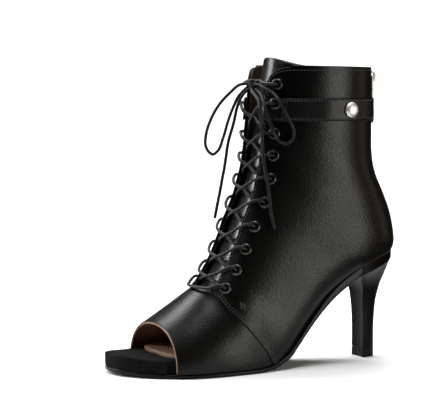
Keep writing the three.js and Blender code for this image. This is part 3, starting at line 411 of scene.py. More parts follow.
def lower_edge(side):
    """Where the upper's lower edge runs, from the toe to the middle of the back.

    Up to the seat it is looked for along each section, and round the heel along each turn."""
    places = np.linspace(0, 9.2, 330)
    low, high = close_in(np.full(330, side * 0.2), np.full(330, side * 0.4999),
                         lambda turn: above_sole(last_point(places, turn)))
    turns = (low + high) / 2
    last_turns = np.linspace(turns[-1], side * 0.5, 60)[1:]
    low, high = close_in(np.full(59, 8.8), np.full(59, 11.0),
                         lambda place: ~above_sole(last_point(place, last_turns)))
    return np.concatenate([np.stack([places, turns], -1), np.stack([high, last_turns], -1)])


LOWER_EDGE = {1: lower_edge(1), -1: lower_edge(-1)}

# The upper's leather: a vamp open at the toe, and two quarters laid over it and meeting up the back
# below the zip. Each is cut from one hide as a flat panel, with holes punched for the eyelets.
WALL = 2.0
QUARTER_STEP = 0.9
THROAT_FOOT = 59.5
THROAT_BEVEL = 3.0
THROAT_FOOT_GAP = 17.5
THROAT_TOP_GAP = 14.0
THROAT_TAPER = 0.6
FLAP_CORNER = 14.0
ZIP_SLOT_HALF = 4.25
ZIP_FOOT = 112.0
SEAM_LINE = np.array([(-0.045, 1.02), (-0.040, 0.86), (-0.024, 0.74), (-0.002, 0.66), (0.037, 0.52),
                      (0.080, 0.35), (0.115, 0.19), (0.146, 0.0)]) * (FOOT_LENGTH, INSTEP_HEIGHT)
MM_PER_TURN = 215.0
SKIN_SCALE = np.array((10.0, MM_PER_TURN))
GRID_SCALE = np.array((11.0, MM_PER_TURN))
EDGE_ROLL = 0.7
EDGE_THIN = 0.45
EDGE_RINGS = (0.12, 0.3, 0.6, 1.05)
SWELL_FADE = 4
QUARTER_BACK = 0.06
VAMP_THICKNESS = 1.1
NEAR_FRONT = 0.001
AT_SIDE = 0.25
NEAR_BACK = 0.499
AT_BACK = 0.4999
EYELET_HEIGHTS = [0.006, 0.086, 0.178, 0.279, 0.387, 0.494, 0.60, 0.70, 0.835, 0.922]
EYELET_INSET = 7.4
EYELET_HOLE = 2.5
STRAP_EYELET = 8


def throat_half(z):
    t = np.clip((z - THROAT_FOOT) / (THROAT_TAPER * (COLLAR_HEIGHT - THROAT_FOOT)), 0, 1)
    return THROAT_FOOT_GAP + (THROAT_TOP_GAP - THROAT_FOOT_GAP) * t


def throat_edge(side):
    """The flap's free edge in the front view, from its foot to the collar, as (x, z)."""
    corner = COLLAR_HEIGHT - FLAP_CORNER
    low = THROAT_FOOT + THROAT_BEVEL
    heights = np.linspace(low, corner, 190)
    edge = [(throat_half(z), z) for z in heights]
    for step in range(1, 41):
        angle = math.pi - step / 40 * math.pi / 2
        edge.append((THROAT_TOP_GAP + FLAP_CORNER + FLAP_CORNER * math.cos(angle),
                     corner + FLAP_CORNER * math.sin(angle)))
    return np.array(edge) * (side, 1)


def lengths_along(points):
    return np.concatenate([[0], np.cumsum(np.linalg.norm(np.diff(points, axis=0), axis=1))])


def evenly(points, count):
    """The same line with its points an equal way apart."""
    points = np.asarray(points, float)
    along = lengths_along(points)
    wanted = np.linspace(0, along[-1], count)
    return np.stack([np.interp(wanted, along, points[:, k]) for k in range(points.shape[1])], -1)


def smooth_line(points, count):
    """A smooth curve through a few points, evenly spaced."""
    points = np.asarray(points, float)
    return evenly(read_rows(points, np.linspace(0, len(points) - 1, 12 * len(points))), count)


def inside_loop(points, loop):
    x, y = points[:, 0], points[:, 1]
    crossings = np.zeros(len(points), int)
    for (x1, y1), (x2, y2) in zip(loop, np.roll(loop, -1, axis=0)):
        if y1 != y2:
            meets = (y1 > y) != (y2 > y)
            crossings += meets & (x < (x2 - x1) * (y - y1) / (y2 - y1) + x1)
    return crossings % 2 == 1


def tree_of(points):
    tree = kdtree.KDTree(len(points))
    for k, p in enumerate(points):
        tree.insert(p, k)
    tree.balance()
    return tree


def step_on_last(spots, direction):
    """The changes of place and turn that move spots by 1 mm in directions along the last's face."""
    place, turn = spots.T
    by_place = (last_point(place + 0.01, turn) - last_point(place - 0.01, turn)) / 0.02
    by_turn = (last_point(place, turn + 1e-4) - last_point(place, turn - 1e-4)) / 2e-4
    aa, ab, bb = (by_place ** 2).sum(1), (by_place * by_turn).sum(1), (by_turn ** 2).sum(1)
    pa, pb = (by_place * direction).sum(1), (by_turn * direction).sum(1)
    det = aa * bb - ab ** 2 + 1e-6
    return np.stack([(pa * bb - pb * ab) / det, (pb * aa - pa * ab) / det], -1)


def cut_panel(name, outline, holes, under, over, spacing=1.5, swell=None):
    """A leather panel as a closed shell on the last: outline and holes are loops of (place, turn).

    Its spots are a grid and a few rings inside each edge, joined up as triangles. The face rolls
    down at the edges, and the underside is the same sheet at the inner offset."""
    loops = [np.asarray(outline)] + [np.asarray(h) for h in holes]
    edge_points = np.concatenate([last_point(*loop.T) for loop in loops])
    edge_tree = tree_of(edge_points)
    low, high = loops[0].min(0), loops[0].max(0)
    step = spacing / GRID_SCALE
    grid = np.stack(np.meshgrid(
        np.arange(low[0], high[0], step[0]), np.arange(low[1], high[1], step[1]),
        indexing="ij"), -1).reshape(-1, 2)
    rings = []
    for loop in loops:
        spots = last_point(*loop.T)
        tangent = np.roll(spots, -1, axis=0) - np.roll(spots, 1, axis=0)
        out = last_out(*loop.T)
        inward = np.cross(out, tangent)
        inward /= np.linalg.norm(inward, axis=1, keepdims=True) + 1e-9
        move = step_on_last(loop, inward)
        for depth in EDGE_RINGS:
            for sign in (1, -1):
                rings.append((loop + sign * depth * move, depth * 0.9))
    kept = []
    for points, clear in [(grid, 0.9 * spacing)] + rings:
        inner = inside_loop(points, loops[0])
        for hole in loops[1:]:
            inner &= ~inside_loop(points, hole)
        points = points[inner]
        if len(points):
            solid = last_point(*points.T)
            far = np.array([edge_tree.find(p)[2] for p in solid])
            kept.append(points[far > clear])
    flat = np.concatenate(loops + kept) * SKIN_SCALE
    edges = []
    start = 0
    for loop in loops:
        count = len(loop)
        edges += [(start + k, start + (k + 1) % count) for k in range(count)]
        start += count
    made = geometry.delaunay_2d_cdt([Vector(p) for p in flat], edges, [], 2, 1e-5)
    flat = np.array([tuple(p) for p in made[0]]) / SKIN_SCALE
    faces = [tuple(f) for f in made[2]]
    middle = last_point(*flat.T)
    far = np.array([edge_tree.find(p)[2] for p in middle])
    rolled = np.sqrt(np.clip(1 - (1 - np.clip(far / EDGE_ROLL, 0, 1)) ** 2, 0, 1))
    thick = over - under
    top = over - EDGE_THIN * thick * (1 - rolled)
    if swell is not None:
        top = top + swell(middle) * np.clip(far / SWELL_FADE, 0, 1)
    outer = last_point(flat[:, 0], flat[:, 1], top)
    inner = last_point(flat[:, 0], flat[:, 1], np.full(len(flat), under))
    count = len(flat)
    sides = {}
    for f in faces:
        for a, b in zip(f, f[1:] + f[:1]):
            if (b, a) in sides:
                del sides[(b, a)]
            else:
                sides[(a, b)] = True
    a, b, c = (outer[[f[k] for f in faces]] for k in range(3))
    facing = (np.cross(b - a, c - a) * last_out(*flat[[f[0] for f in faces]].T)).sum(1).sum()
    if facing < 0:
        faces = [f[::-1] for f in faces]
        sides = {(b, a): True for a, b in sides}
    every = faces + [tuple(count + v for v in f[::-1]) for f in faces]
    every += [(b, a, count + a, count + b) for a, b in sides]
    return add_mesh(name, np.concatenate([outer, inner]) * MM, every)


def side_view(line, side, offset=0.0):
    """Places and turns of a line drawn in the side view as (y, z)."""
    return find_on_last(line, (1, 2), (side * NEAR_FRONT, side * NEAR_BACK), offset)


def front_view(line, side):
    return find_on_last(line, (0, 2), (side * NEAR_FRONT, side * AT_SIDE))


def back_view(line, side):
    return find_on_last(line, (0, 2), (side * AT_SIDE, side * AT_BACK))


def eyelet_spots(side):
    heights = THROAT_FOOT + np.array(EYELET_HEIGHTS) * (COLLAR_HEIGHT - THROAT_FOOT)
    return front_view(np.stack([side * (throat_half(heights) + EYELET_INSET), heights], -1), side)


def spokes(across, upward, count):
    """Directions all round a circle that two directions span."""
    angles = np.linspace(0, 2 * np.pi, count, endpoint=False)
    return np.cos(angles)[:, None] * across + np.sin(angles)[:, None] * upward


def punched(spot, radius, count=20):
    """A round hole about a spot, as a loop of places and turns."""
    centre = last_point(*spot)
    by_place = (last_point(spot[0] + 0.01, spot[1]) - centre) / 0.01
    by_turn = (last_point(spot[0], spot[1] + 1e-3) - centre) / 1e-3
    grid = np.stack([by_place, by_turn], -1)
    across = by_turn / np.linalg.norm(by_turn)
    upward = np.cross(last_out(*spot), across)
    ring = radius * spokes(across, upward, count)
    return np.asarray(spot) + np.linalg.lstsq(grid, ring.T, rcond=None)[0].T


# folds across the ankle: height, half width, depth and shift, all soft
CREASES = [(150, 11, -0.55, 0.3), (128, 8, 0.28, 1.7), (104, 9, -0.35, 0.9), (82, 8, -0.22, 2.2)]


def creases(points):
    """Soft hollows and folds where the leather hangs in at the ankle and over the instep."""
    y, z = points[:, 1], points[:, 2]
    height = np.zeros(len(points))
    for middle, reach, depth, phase in CREASES:
        line = middle + 2.5 * np.sin(y / 14 + phase)
        height += depth * np.exp(-(((z - line) / reach) ** 2)) * (0.6 + 0.4 * np.sin(y / 19 + 2 * phase))
    return height


TURN_WEIGHT = 30


def meeting(line, spot):
    """Which spot of a line is the nearest to another spot."""
    return np.argmin(np.abs(line[:, 0] - spot[0]) + TURN_WEIGHT * np.abs(line[:, 1] - spot[1]))


def quarter_outline(side, front_seam):
    """A quarter's edge: up the throat, round the collar, down the zip's slot and the back, along the
    sole, and up the seam."""
    throat = throat_edge(side)
    bevel = [(side * (THROAT_FOOT_GAP - THROAT_BEVEL), THROAT_FOOT),
             (side * THROAT_FOOT_GAP, THROAT_FOOT + THROAT_BEVEL)]
    up_throat = front_view(np.concatenate([evenly(bevel, 5)[:-1], throat]), side)
    slot = ZIP_SLOT_HALF * side
    slot_line = np.array([(slot, COLLAR_HEIGHT - 1e-3), (slot, ZIP_FOOT)])
    down_slot = back_view(evenly(slot_line, 130), side)
    up_throat[-1, 0] = TOP_PLACE
    collar_turns = np.linspace(up_throat[-1, 1], down_slot[0, 1], 150)
    collar = np.stack([np.full(150, float(TOP_PLACE)), collar_turns], -1)
    down_slot[0, 0] = TOP_PLACE
    foot = np.stack([np.full(6, down_slot[-1, 0]), np.linspace(down_slot[-1, 1], side * 0.5, 6)], -1)[1:]
    lower = LOWER_EDGE[side]
    back_seam = np.stack([np.linspace(foot[-1, 0], lower[-1, 0], 40), np.full(40, side * 0.5)], -1)[1:-1]
    seam = side_view(smooth_line(front_seam, 110)[::-1], side)
    seam = seam[seam[:, 0] < 20]
    along_sole = lower[meeting(lower, seam[0]):][::-1]
    top_seam = seam[last_point(*seam.T)[:, 2] < THROAT_FOOT - 1.0]
    return np.concatenate([up_throat, collar[1:-1], down_slot, foot, back_seam, along_sole, top_seam])


# a bend sharper than the angle with this cosine is a corner
CORNER = 0.8


def settle_loop(loop, step=0.9):
    """The loop with points about a step apart on the last, corners kept."""
    points = last_point(*loop.T)
    turned = np.diff(points, axis=0, append=points[:1])
    turned /= np.linalg.norm(turned, axis=1, keepdims=True) + 1e-9
    corner = (turned * np.roll(turned, 1, axis=0)).sum(1) < CORNER
    kept = [0]
    for k in range(1, len(loop)):
        if corner[k] or np.linalg.norm(points[k] - points[kept[-1]]) > step:
            kept.append(k)
    out = []
    for a, b in zip(kept, kept[1:] + kept[:1]):
        away = np.linalg.norm(points[b] - points[a])
        parts = max(1, int(away / (1.3 * step)))
        out += [loop[a] + (loop[b] - loop[a]) * q / parts for q in range(parts)]
    return np.array(out)


def leather_finish(name, dark, light, grain=1.0, gloss=0.4, shine=0.14):
    """Smooth black calf: fine pebbling, faint brown bloom and uneven satin gloss."""
    hide = Finish(name)
    cloud = hide.noise(26, 3)
    bloom = hide.noise(9, 2)
    pebble = hide.cells(620)
    fine = hide.noise(2600, 2)
    pores = hide.steps(hide.noise(1500, 1), 0.34, 0.42)
    shade = hide.steps(cloud * 0.6 + bloom * 0.4, 0.35, 0.7)
    relief = pebble * 0.6 + fine * 0.08 + pores * 0.12
    waves = hide.bump(hide.noise(38, 3), 0.0011, 0.22 * grain)
    return hide.set(base_color=hide.blend(shade, dark, light),
                    roughness=gloss + (cloud - 0.5) * 0.12 + pebble * 0.06, specular_ior_level=shine,
                    normal=hide.bump(relief, 0.0002, 0.6 * grain, waves))


SIDES = ((1, "lateral"), (-1, "medial"))
DEEP_BLACK = (0.0012, 0.0011, 0.001, 1)
WORN_BLACK = (0.0035, 0.0032, 0.0028, 1)
black_leather = leather_finish("black_leather", DEEP_BLACK, (0.0032, 0.0029, 0.0025, 1), gloss=0.3)
for side, word in SIDES:
    loop = settle_loop(quarter_outline(side, SEAM_LINE))
    holes = [punched(spot, EYELET_HOLE) for spot in eyelet_spots(side)]
    quarter = cut_panel("quarter_" + word, loop, holes, QUARTER_BACK, QUARTER_STEP, swell=creases)
    quarter.data.materials.append(black_leather)
    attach(quarter, "boot")
    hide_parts("upper")

# the vamp, which runs on under the quarters by the underlap
UNDERLAP = 9
FOOT_HALF = THROAT_FOOT_GAP + 8
vamp_back = SEAM_LINE + (UNDERLAP, 4)
edges = {}
for side in (1, -1):
    spots = side_view(smooth_line(vamp_back[1:], 90), side)
    lower = LOWER_EDGE[side]
    high = spots[last_point(*spots.T)[:, 2] < THROAT_FOOT - 0.5]
    edges[side] = np.concatenate([lower[:meeting(lower, spots[-1]) + 1], high[::-1]])
foot_line = np.stack([np.linspace(FOOT_HALF, -FOOT_HALF, 70), np.full(70, THROAT_FOOT)], -1)
foot_spots = np.concatenate([front_view(foot_line[foot_line[:, 0] >= 0], 1),
                             front_view(foot_line[foot_line[:, 0] < 0], -1)])
toe_edge = np.stack([np.zeros(160), np.linspace(edges[-1][0, 1], edges[1][0, 1], 160)], -1)[1:-1]
vamp_loop = np.concatenate([edges[1], foot_spots, edges[-1][::-1], toe_edge])
vamp = cut_panel("vamp", settle_loop(vamp_loop), [], -VAMP_THICKNESS, 0.0)
vamp.data.materials.append(black_leather)
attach(vamp, "boot")
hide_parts("upper")

# The linings: brown pigskin glued inside the vamp and the quarters, so that its edge shows along the
# throat and the collar, with a black core between it and each quarter's outer leather. Round the open
# toe the pale raw edge of the hide is left showing.
LINING_HOLE = 3.1
LINING_SPACING = 2.6
VAMP_LINING_FACE = -1.15
LINING_FACE = -1.3
CORE_BACK = -1.25
EDGE_BEAD = 0.38
EDGE_FORWARD = 0.12
# The quarter and tongue lining is the same pigskin as the toe lining, painted several times darker: painted
# shade for the inside of the shaft. The toe lining has the pigskin's own colour.
shade_darkened_lining = leather_finish("shade_darkened_lining", (0.045, 0.024, 0.014, 1), (0.1, 0.056, 0.034, 1), 0.7, 0.62)
toe_lining = leather_finish("toe_lining", (0.19, 0.09, 0.046, 1), (0.3, 0.155, 0.09, 1), 0.7, 0.62)
vamp_lining = cut_panel("vamp_lining", settle_loop(vamp_loop, 1.5), [], -WALL, VAMP_LINING_FACE,
                        LINING_SPACING)
linings = [(vamp_lining, toe_lining)]
for side, word in SIDES:
    loop = settle_loop(quarter_outline(side, vamp_back + (0.8, 0)), 1.3)
    holes = [punched(spot, LINING_HOLE, 12) for spot in eyelet_spots(side)]
    lining = cut_panel("quarter_lining_" + word, loop, holes, -WALL, LINING_FACE, LINING_SPACING)
    core = cut_panel("quarter_core_" + word, loop, holes, CORE_BACK, 0.0, LINING_SPACING)
    linings += [(lining, shade_darkened_lining), (core, black_leather)]
for piece, finish in linings:
    piece.data.materials.append(finish)
    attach(piece, "boot")
    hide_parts("upper")


def band(low, high, count):
    """The faces between two rings, each given by the number of its first point."""
    return [(low + n, low + (n + 1) % count, high + (n + 1) % count, high + n) for n in range(count)]


def loft(name, rings, sharp=None):
    """A closed piece through rings of points in millimetres, with a fan over each end."""
    rings = np.asarray(rings, float)
    count = rings.shape[1]
    points = np.concatenate([rings.reshape(-1, 3), rings[[0, -1]].mean(1)])
    faces = []
    for low in range(0, (len(rings) - 1) * count, count):
        faces += band(low, low + count, count)
    top = (len(rings) - 1) * count
    faces += [(top + count, (n + 1) % count, n) for n in range(count)]
    faces += [(top + count + 1, top + n, top + (n + 1) % count) for n in range(count)]
    middle = points.mean(0)
    three = np.array([f[:3] for f in faces] + [(f[0], f[2], f[3]) for f in faces if len(f) == 4])
    a, b, c = (points[three[:, k]] - middle for k in range(3))
    if (a * np.cross(b, c)).sum() < 0:
        faces = [tuple(f)[::-1] for f in faces]
    piece = add_mesh(name, points * MM, faces)
    if sharp:
        piece.data.set_sharp_from_angle(angle=math.radians(sharp))
    return piece


def tube(name, points, radius, sides=12):
    """A round cord with rounded ends along a line of points."""
    points = np.asarray(points, float)
    ahead = np.gradient(points, axis=0)
    ahead /= np.linalg.norm(ahead, axis=1, keepdims=True)
    across = np.cross(ahead[0], (0.31, 0.52, 0.79))
    rounded = ((0.5, 0.86), (0.9, 0.45))
    stops = [(points[0] - back * radius * ahead[0], ahead[0], thin) for back, thin in rounded[::-1]]
    stops += [(p, d, 1.0) for p, d in zip(points, ahead)]
    stops += [(points[-1] + out * radius * ahead[-1], ahead[-1], thin) for out, thin in rounded]
    rings = []
    for point, direction, size in stops:
        across = across - direction * across.dot(direction)
        across /= np.linalg.norm(across)
        rings.append(point + radius * size * spokes(across, np.cross(direction, across), sides))
    return loft(name, rings)


raw_edge = Finish("raw_edge")
raw_fibre = raw_edge.noise(900, 3)
binding_line = evenly(last_point(0, toe_edge[:, 1], -WALL / 2), 150) - (0, EDGE_FORWARD, 0)
toe_binding = tube("toe_binding", binding_line, EDGE_BEAD, 8)
toe_binding.data.materials.append(raw_edge.set(
    base_color=raw_edge.blend(raw_fibre, (0.16, 0.1, 0.065, 1), (0.34, 0.25, 0.18, 1)), roughness=0.8))
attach(toe_binding, "boot")
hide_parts("upper")

# The tongue: one long tab of the same leather on a brown lining, sewn in under the vamp's top edge.
# Its top stands a little above the collar between the flaps.
TONGUE_WIDTH = 44
TONGUE_THICKNESS = 2.2
TONGUE_REACH = 14
TONGUE_FOOT = THROAT_FOOT - TONGUE_REACH
TONGUE_TOP = COLLAR_HEIGHT + 7.2
TONGUE_BOW = 6
TONGUE_LEAN = 4
LEAN_FROM = 0.75
TONGUE_EDGE = 1.3
OUTER_LAYER = 1.2
FOOT_TAPER = 0.1
FOOT_TAPER_LENGTH = 7
LACE_DIAMETER = 2.3


def edged(length, count, edge):
    """Places along a length, close together at both ends for a rounded edge."""
    near = np.array((0, 0.1, 0.35, 1.0)) * edge
    return np.concatenate([near, np.linspace(edge, length - edge, count)[1:-1], length - near[::-1]])


def rounding(places, length, edge):
    """How full a piece is at places along it, from its thin edge to its whole thickness."""
    near = np.clip(np.minimum(places, length - places) / edge, 0, 1)
    return np.sqrt(np.clip(1 - (1 - near) ** 2, 0.03, 1))


def slab_rings(top, bottom):
    return np.concatenate([top, bottom[:, ::-1]], axis=1)


tongue_leather = leather_finish("tongue_leather", DEEP_BLACK, WORN_BLACK, 0.8, 0.26, 0.3)
tongue_across = edged(TONGUE_WIDTH, 26, TONGUE_EDGE)
tongue_along = edged(TONGUE_TOP - TONGUE_FOOT, 90, TONGUE_EDGE)
share_across = tongue_across / TONGUE_WIDTH
share_along = tongue_along / tongue_along[-1]
spread = 2 * share_across - 1
tongue_heights = TONGUE_FOOT + share_along[:, None] * (TONGUE_TOP - TONGUE_BOW * spread ** 2 - TONGUE_FOOT)
below = np.clip((tongue_heights - TONGUE_FOOT) / TONGUE_REACH, 0, 1)
leaning = np.clip((share_along[:, None] - LEAN_FROM) / (1 - LEAN_FROM), 0, 1)
tongue_sink = WALL + 2 * GAP + below * (LACE_DIAMETER + 3 * GAP) + leaning ** 2 * TONGUE_LEAN
fullness = (rounding(tongue_along, tongue_along[-1], TONGUE_EDGE)[:, None]
            * rounding(tongue_across, TONGUE_WIDTH, TONGUE_EDGE)[None])
ripple = 0.25 * np.sin(tongue_heights / 11.0) * (1 - spread ** 2)
foot_taper = 1 - FOOT_TAPER * np.clip(
    (TONGUE_FOOT + FOOT_TAPER_LENGTH - tongue_heights) / FOOT_TAPER_LENGTH, 0, 1)
# the tongue's lining takes the pigskin colour darkened as painted shade
for word, near, far, finish in (("tongue_front", 0.0, OUTER_LAYER, tongue_leather),
                                ("tongue_lining", OUTER_LAYER, TONGUE_THICKNESS, shade_darkened_lining)):
    depth = (far - near) / 2
    faces_at = []
    for way in (-1, 1):
        inset = tongue_sink + near + depth * (1 + way * fullness) - ripple * (TONGUE_THICKNESS - near) / 3
        half_wide = TONGUE_WIDTH / 2 * (1 if word == "tongue_front" else foot_taper)
        faces_at.append(front_of_last(tongue_heights, spread * half_wide, -inset))
    piece = loft(word, slab_rings(*faces_at))
    piece.data.materials.append(finish)
    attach(piece, "boot")
    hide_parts("tongue")

# The boards under the foot: a thin black outsole, a platform covered in black suede that shows at
# the open toe, and the insole with its tan sock. Each is one board with softly rounded edges.
PLATFORM_THICKNESS = 9.3
INSOLE_THICKNESS = 2.6
BREAST = 0.485 * FOOT_LENGTH
TOE_TIP = SOLE_ROWS[0, 0] * FOOT_LENGTH
BACK_TIP = SOLE_ROWS[-1, 0] * FOOT_LENGTH
PLATFORM_END = 0.262 * FOOT_LENGTH
PLATFORM_TAPER = np.array([(-80, 1), (14, 1), (29.2, 0.98), (39.6, 0.72), (47.9, 0.42), (55.1, 0.24),
                           (60.8, 0.14)])
OPEN_TOE = last_point(0, np.array((0, 0.25, 0.75)))[:, 1].min() - 2 * GAP
INSOLE_FRONT = OPEN_TOE + 5
INSOLE_NOSE = 22


def platform_top(y):
    return feather_line(y) + np.interp(y, *PLATFORM_TAPER.T) * PLATFORM_THICKNESS


def inside_walls(y, heights, side):
    """How far out the lining is at places of the side view, or the sole's edge where there is none."""
    offset = -WALL - GAP
    at = side_view(np.stack([y, heights], -1), side, offset)
    found = last_point(at[:, 0], at[:, 1], offset)
    missed = np.hypot(found[:, 1] - y, found[:, 2] - heights) > 0.4
    sole_side = sole_at(y)[0 if side > 0 else 1]
    wall = np.where(missed, sole_side - side * 2.6, found[:, 0])
    return side * np.minimum(np.abs(wall), np.abs(sole_side))


def board(name, places, lateral, medial, low, high, edge, crown=0.0):
    """A board along the foot from its two sides, its underside and its top at each place."""
    rings = []
    quarter = np.linspace(0, np.pi / 2, 4)
    flat = np.linspace(0, 1, 8)[1:-1]
    for y, out, back, under, over in zip(places, lateral, medial, low, high):
        soft = min(edge, 0.48 * (over - under), 0.45 * (out - back))
        corners = [(out - soft, over - soft, 0), (back + soft, over - soft, 1),
                   (back + soft, under + soft, 2), (out - soft, under + soft, 3)]
        ring = []
        for k, (x, z, turn) in enumerate(corners):
            angle = quarter + turn * np.pi / 2
            ring += list(zip(x + soft * np.cos(angle), z + soft * np.sin(angle)))
            if k == 0:
                ring += [(out - soft + f * (back - out + 2 * soft), over) for f in flat]
            if k == 2:
                ring += [(back + soft + f * (out - back - 2 * soft), under) for f in flat]
        ring = np.array(ring)
        middle, half = (out + back) / 2, (out - back) / 2
        lift = np.where(ring[:, 1] > over - soft, crown * (1 - ((ring[:, 0] - middle) / half) ** 2), 0)
        rings.append(np.stack([ring[:, 0], np.full(len(ring), y), ring[:, 1] + lift], -1))
    return loft(name, rings)


def closer_at_ends(start, end, count):
    share = np.linspace(0, 1, count)
    return start + (0.7 * (1 - np.cos(np.pi * share)) / 2 + 0.3 * share) * (end - start)


sole_finish = Finish("sole_leather")
sole_wear = sole_finish.noise(60, 4)
sole_lines = sole_finish.noise(1800, 2)
black_sole = sole_finish.set(
    base_color=sole_finish.blend(sole_wear, DEEP_BLACK, (0.0032, 0.0029, 0.0026, 1)),
    roughness=0.32 + sole_wear * 0.12, specular_ior_level=0.12,
    normal=sole_finish.bump(sole_lines, 0.0001, 0.3))
places = closer_at_ends(TOE_TIP, BREAST - GAP, 150)
lateral, medial, low, high = sole_at(places)
middle, half = (lateral[0] + medial[0]) / 2, (lateral[0] - medial[0]) / 2
outsole = board("outsole_visual", np.concatenate([[places[0] - 0.45], places]),
                np.concatenate([[middle + 0.6 * half], lateral]),
                np.concatenate([[middle - 0.6 * half], medial]),
                np.clip(np.concatenate([[low[0]], low]), 0, None),
                np.concatenate([[high[0]], high]), 0.8)
outsole.data.materials.append(black_sole)
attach(outsole, "boot")
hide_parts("outsole")

suede = Finish("black_suede")
nap = suede.noise(2200, 4, rough=0.7)
nap_cloud = suede.noise(120, 3)
black_suede = suede.set(
    base_color=suede.blend(suede.steps(nap * 0.6 + nap_cloud * 0.4, 0.35, 0.65),
                           (0.0012, 0.0012, 0.0011, 1), (0.009, 0.0085, 0.008, 1)),
    roughness=0.95, sheen_weight=0.01, sheen_roughness=0.5, specular_ior_level=0.04,
    normal=suede.bump(nap, 0.0003, 0.8))
places = np.concatenate([closer_at_ends(TOE_TIP + 0.2, OPEN_TOE - 0.3, 60),
                         np.linspace(OPEN_TOE, PLATFORM_END, 90)])
lateral, medial, low, high = sole_at(places)
platform_high = platform_top(places)
within = places >= OPEN_TOE
mid_height = (high + platform_high) / 2
for way, sides_at in ((1, lateral), (-1, medial)):
    sides_at[within] = inside_walls(places[within], mid_height[within], way)
platform = board("platform_visual", places, lateral, medial, high + GAP, platform_high, 1.6, 0.15)
platform.data.materials.append(black_suede)
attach(platform, "boot")
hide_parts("platform")

sock = Finish("tan_sock")
sock_cloud = sock.noise(45, 4)
sock_grain = sock.noise(1900, 3)
tan_leather = sock.set(
    base_color=sock.blend(sock.steps(sock_cloud, 0.3, 0.7), (0.11, 0.055, 0.028, 1), (0.18, 0.1, 0.056, 1)),
    roughness=0.55 + sock_cloud * 0.15, normal=sock.bump(sock_grain, 0.00012, 0.5))
places = closer_at_ends(INSOLE_FRONT, BACK_TIP - 3.2, 150)
low = platform_top(np.minimum(places, PLATFORM_END)) + GAP
low = np.where(places > PLATFORM_END, np.maximum(feather_line(places) + GAP, 0), low)
nose = 0.3 + 0.7 * (1 - (1 - np.clip((places - INSOLE_FRONT) / INSOLE_NOSE, 0, 1)) ** 2.6) ** (1 / 2.6)
lateral = inside_walls(places, low + INSOLE_THICKNESS / 2, 1) * nose
medial = inside_walls(places, low + INSOLE_THICKNESS / 2, -1) * nose
insole = board("insole_visual", places, lateral, medial, low, low + INSOLE_THICKNESS, 1.0, 0.2)
insole.data.materials.append(tan_leather)
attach(insole, "boot")
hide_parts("insole")

# The heel: a tall moulded heel covered in polished leather, flat in front, with a rubber top piece.
# Its sections run from the seat down to the floor.
HEEL_TIP_HEIGHT = 7
HEEL_TIP_WIDTH = 16
BREAST_HOLLOW = 0.06
HEEL_ROWS = np.array([
    (0.485, 0.648, 0.797, 0.949, 1.00, 2.0), (0.490, 0.641, 0.768, 0.885, 0.80, 2.0),
    (0.503, 0.6285, 0.730, 0.790, 0.50, 2.1), (0.5175, 0.616, 0.688, 0.705, 0.27, 2.2),
    (0.526, 0.6075, 0.635, 0.635, 0.14, 2.3), (0.529, 0.598, 0.535, 0.535, 0.055, 2.4),
    (0.532, 0.5925, 0.410, 0.410, 0.017, 2.4), (0.5335, 0.590, 0.235, 0.235, 0, 2.4),
    (0.5335, 0.590, 0, 0, 0, 2.4)])
SEAT_WIDTH = 2 * float(sole_at(BREAST)[0])


def heel_ring(row, heights=None):
    """One section of the heel, at the heights its row gives or at those of another surface."""
    front_y, back_y, front_z, back_z, grown, full = row
    front, back = front_y * FOOT_LENGTH, back_y * FOOT_LENGTH
    half = (HEEL_TIP_WIDTH + grown * (SEAT_WIDTH - HEEL_TIP_WIDTH)) / 2
    angle = np.linspace(0, np.pi, 49)
    x = half * np.sign(np.cos(angle)) * np.abs(np.cos(angle)) ** (2 / full)
    y = front + (back - front) * np.sin(angle) ** (2 / full)
    cross = np.linspace(-1, 1, 11)[1:-1]
    hollow = BREAST_HOLLOW * (back - front) * (1 - grown)
    x = np.concatenate([x, half * cross])
    y = np.concatenate([y, front + hollow * (1 - cross ** 2)])
    if heights is None:
        z = (front_z + (back_z - front_z) * (y - front) / (back - front)) * HEEL_HEIGHT
    else:
        z = heights(y)
    return np.stack([x, y, z], -1)


def level_ring(height):
    return heel_ring(HEEL_ROWS[-1], lambda y: np.full(len(y), float(height)))


heel_finish = Finish("heel_gloss")
heel_cloud = heel_finish.noise(35, 2)
gloss_black = heel_finish.set(
    base_color=heel_finish.blend(heel_cloud, (0.001, 0.0009, 0.0008, 1), (0.0032, 0.0025, 0.002, 1)),
    roughness=0.34 + heel_cloud * 0.1, specular_ior_level=0.03,
    normal=heel_finish.bump(heel_finish.noise(1400, 2), 0.00005, 0.25))
heel_rings = [heel_ring(HEEL_ROWS[0], lambda y: sole_at(y)[3])]
for place in np.linspace(0, len(HEEL_ROWS) - 2, 60):
    heel_rings.append(heel_ring(read_rows(HEEL_ROWS, place)))
for height in (12, HEEL_TIP_HEIGHT + 0.15, HEEL_TIP_HEIGHT):
    heel_rings.append(level_ring(height))
heel = loft("heel_visual", heel_rings, sharp=42)
heel.data.materials.append(gloss_black)
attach(heel, "boot")
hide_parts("heel")
rubber = Finish("top_piece_rubber")
rubber_grain = rubber.noise(1500, 2)
tip_top = HEEL_TIP_HEIGHT - GAP
tip_rings = [level_ring(height) for height in (0, 0.2, tip_top - 0.2, tip_top)]
heel_tip = loft("heel_tip_visual", tip_rings, sharp=42)
heel_tip.data.materials.append(rubber.set(
    base_color=rubber.blend(rubber_grain, (0.0015, 0.0014, 0.0013, 1), (0.004, 0.0037, 0.0034, 1)),
    roughness=0.6, specular_ior_level=0.08, normal=rubber.bump(rubber_grain, 0.0001, 0.3)))
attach(heel_tip, "boot")
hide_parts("heel_tip")

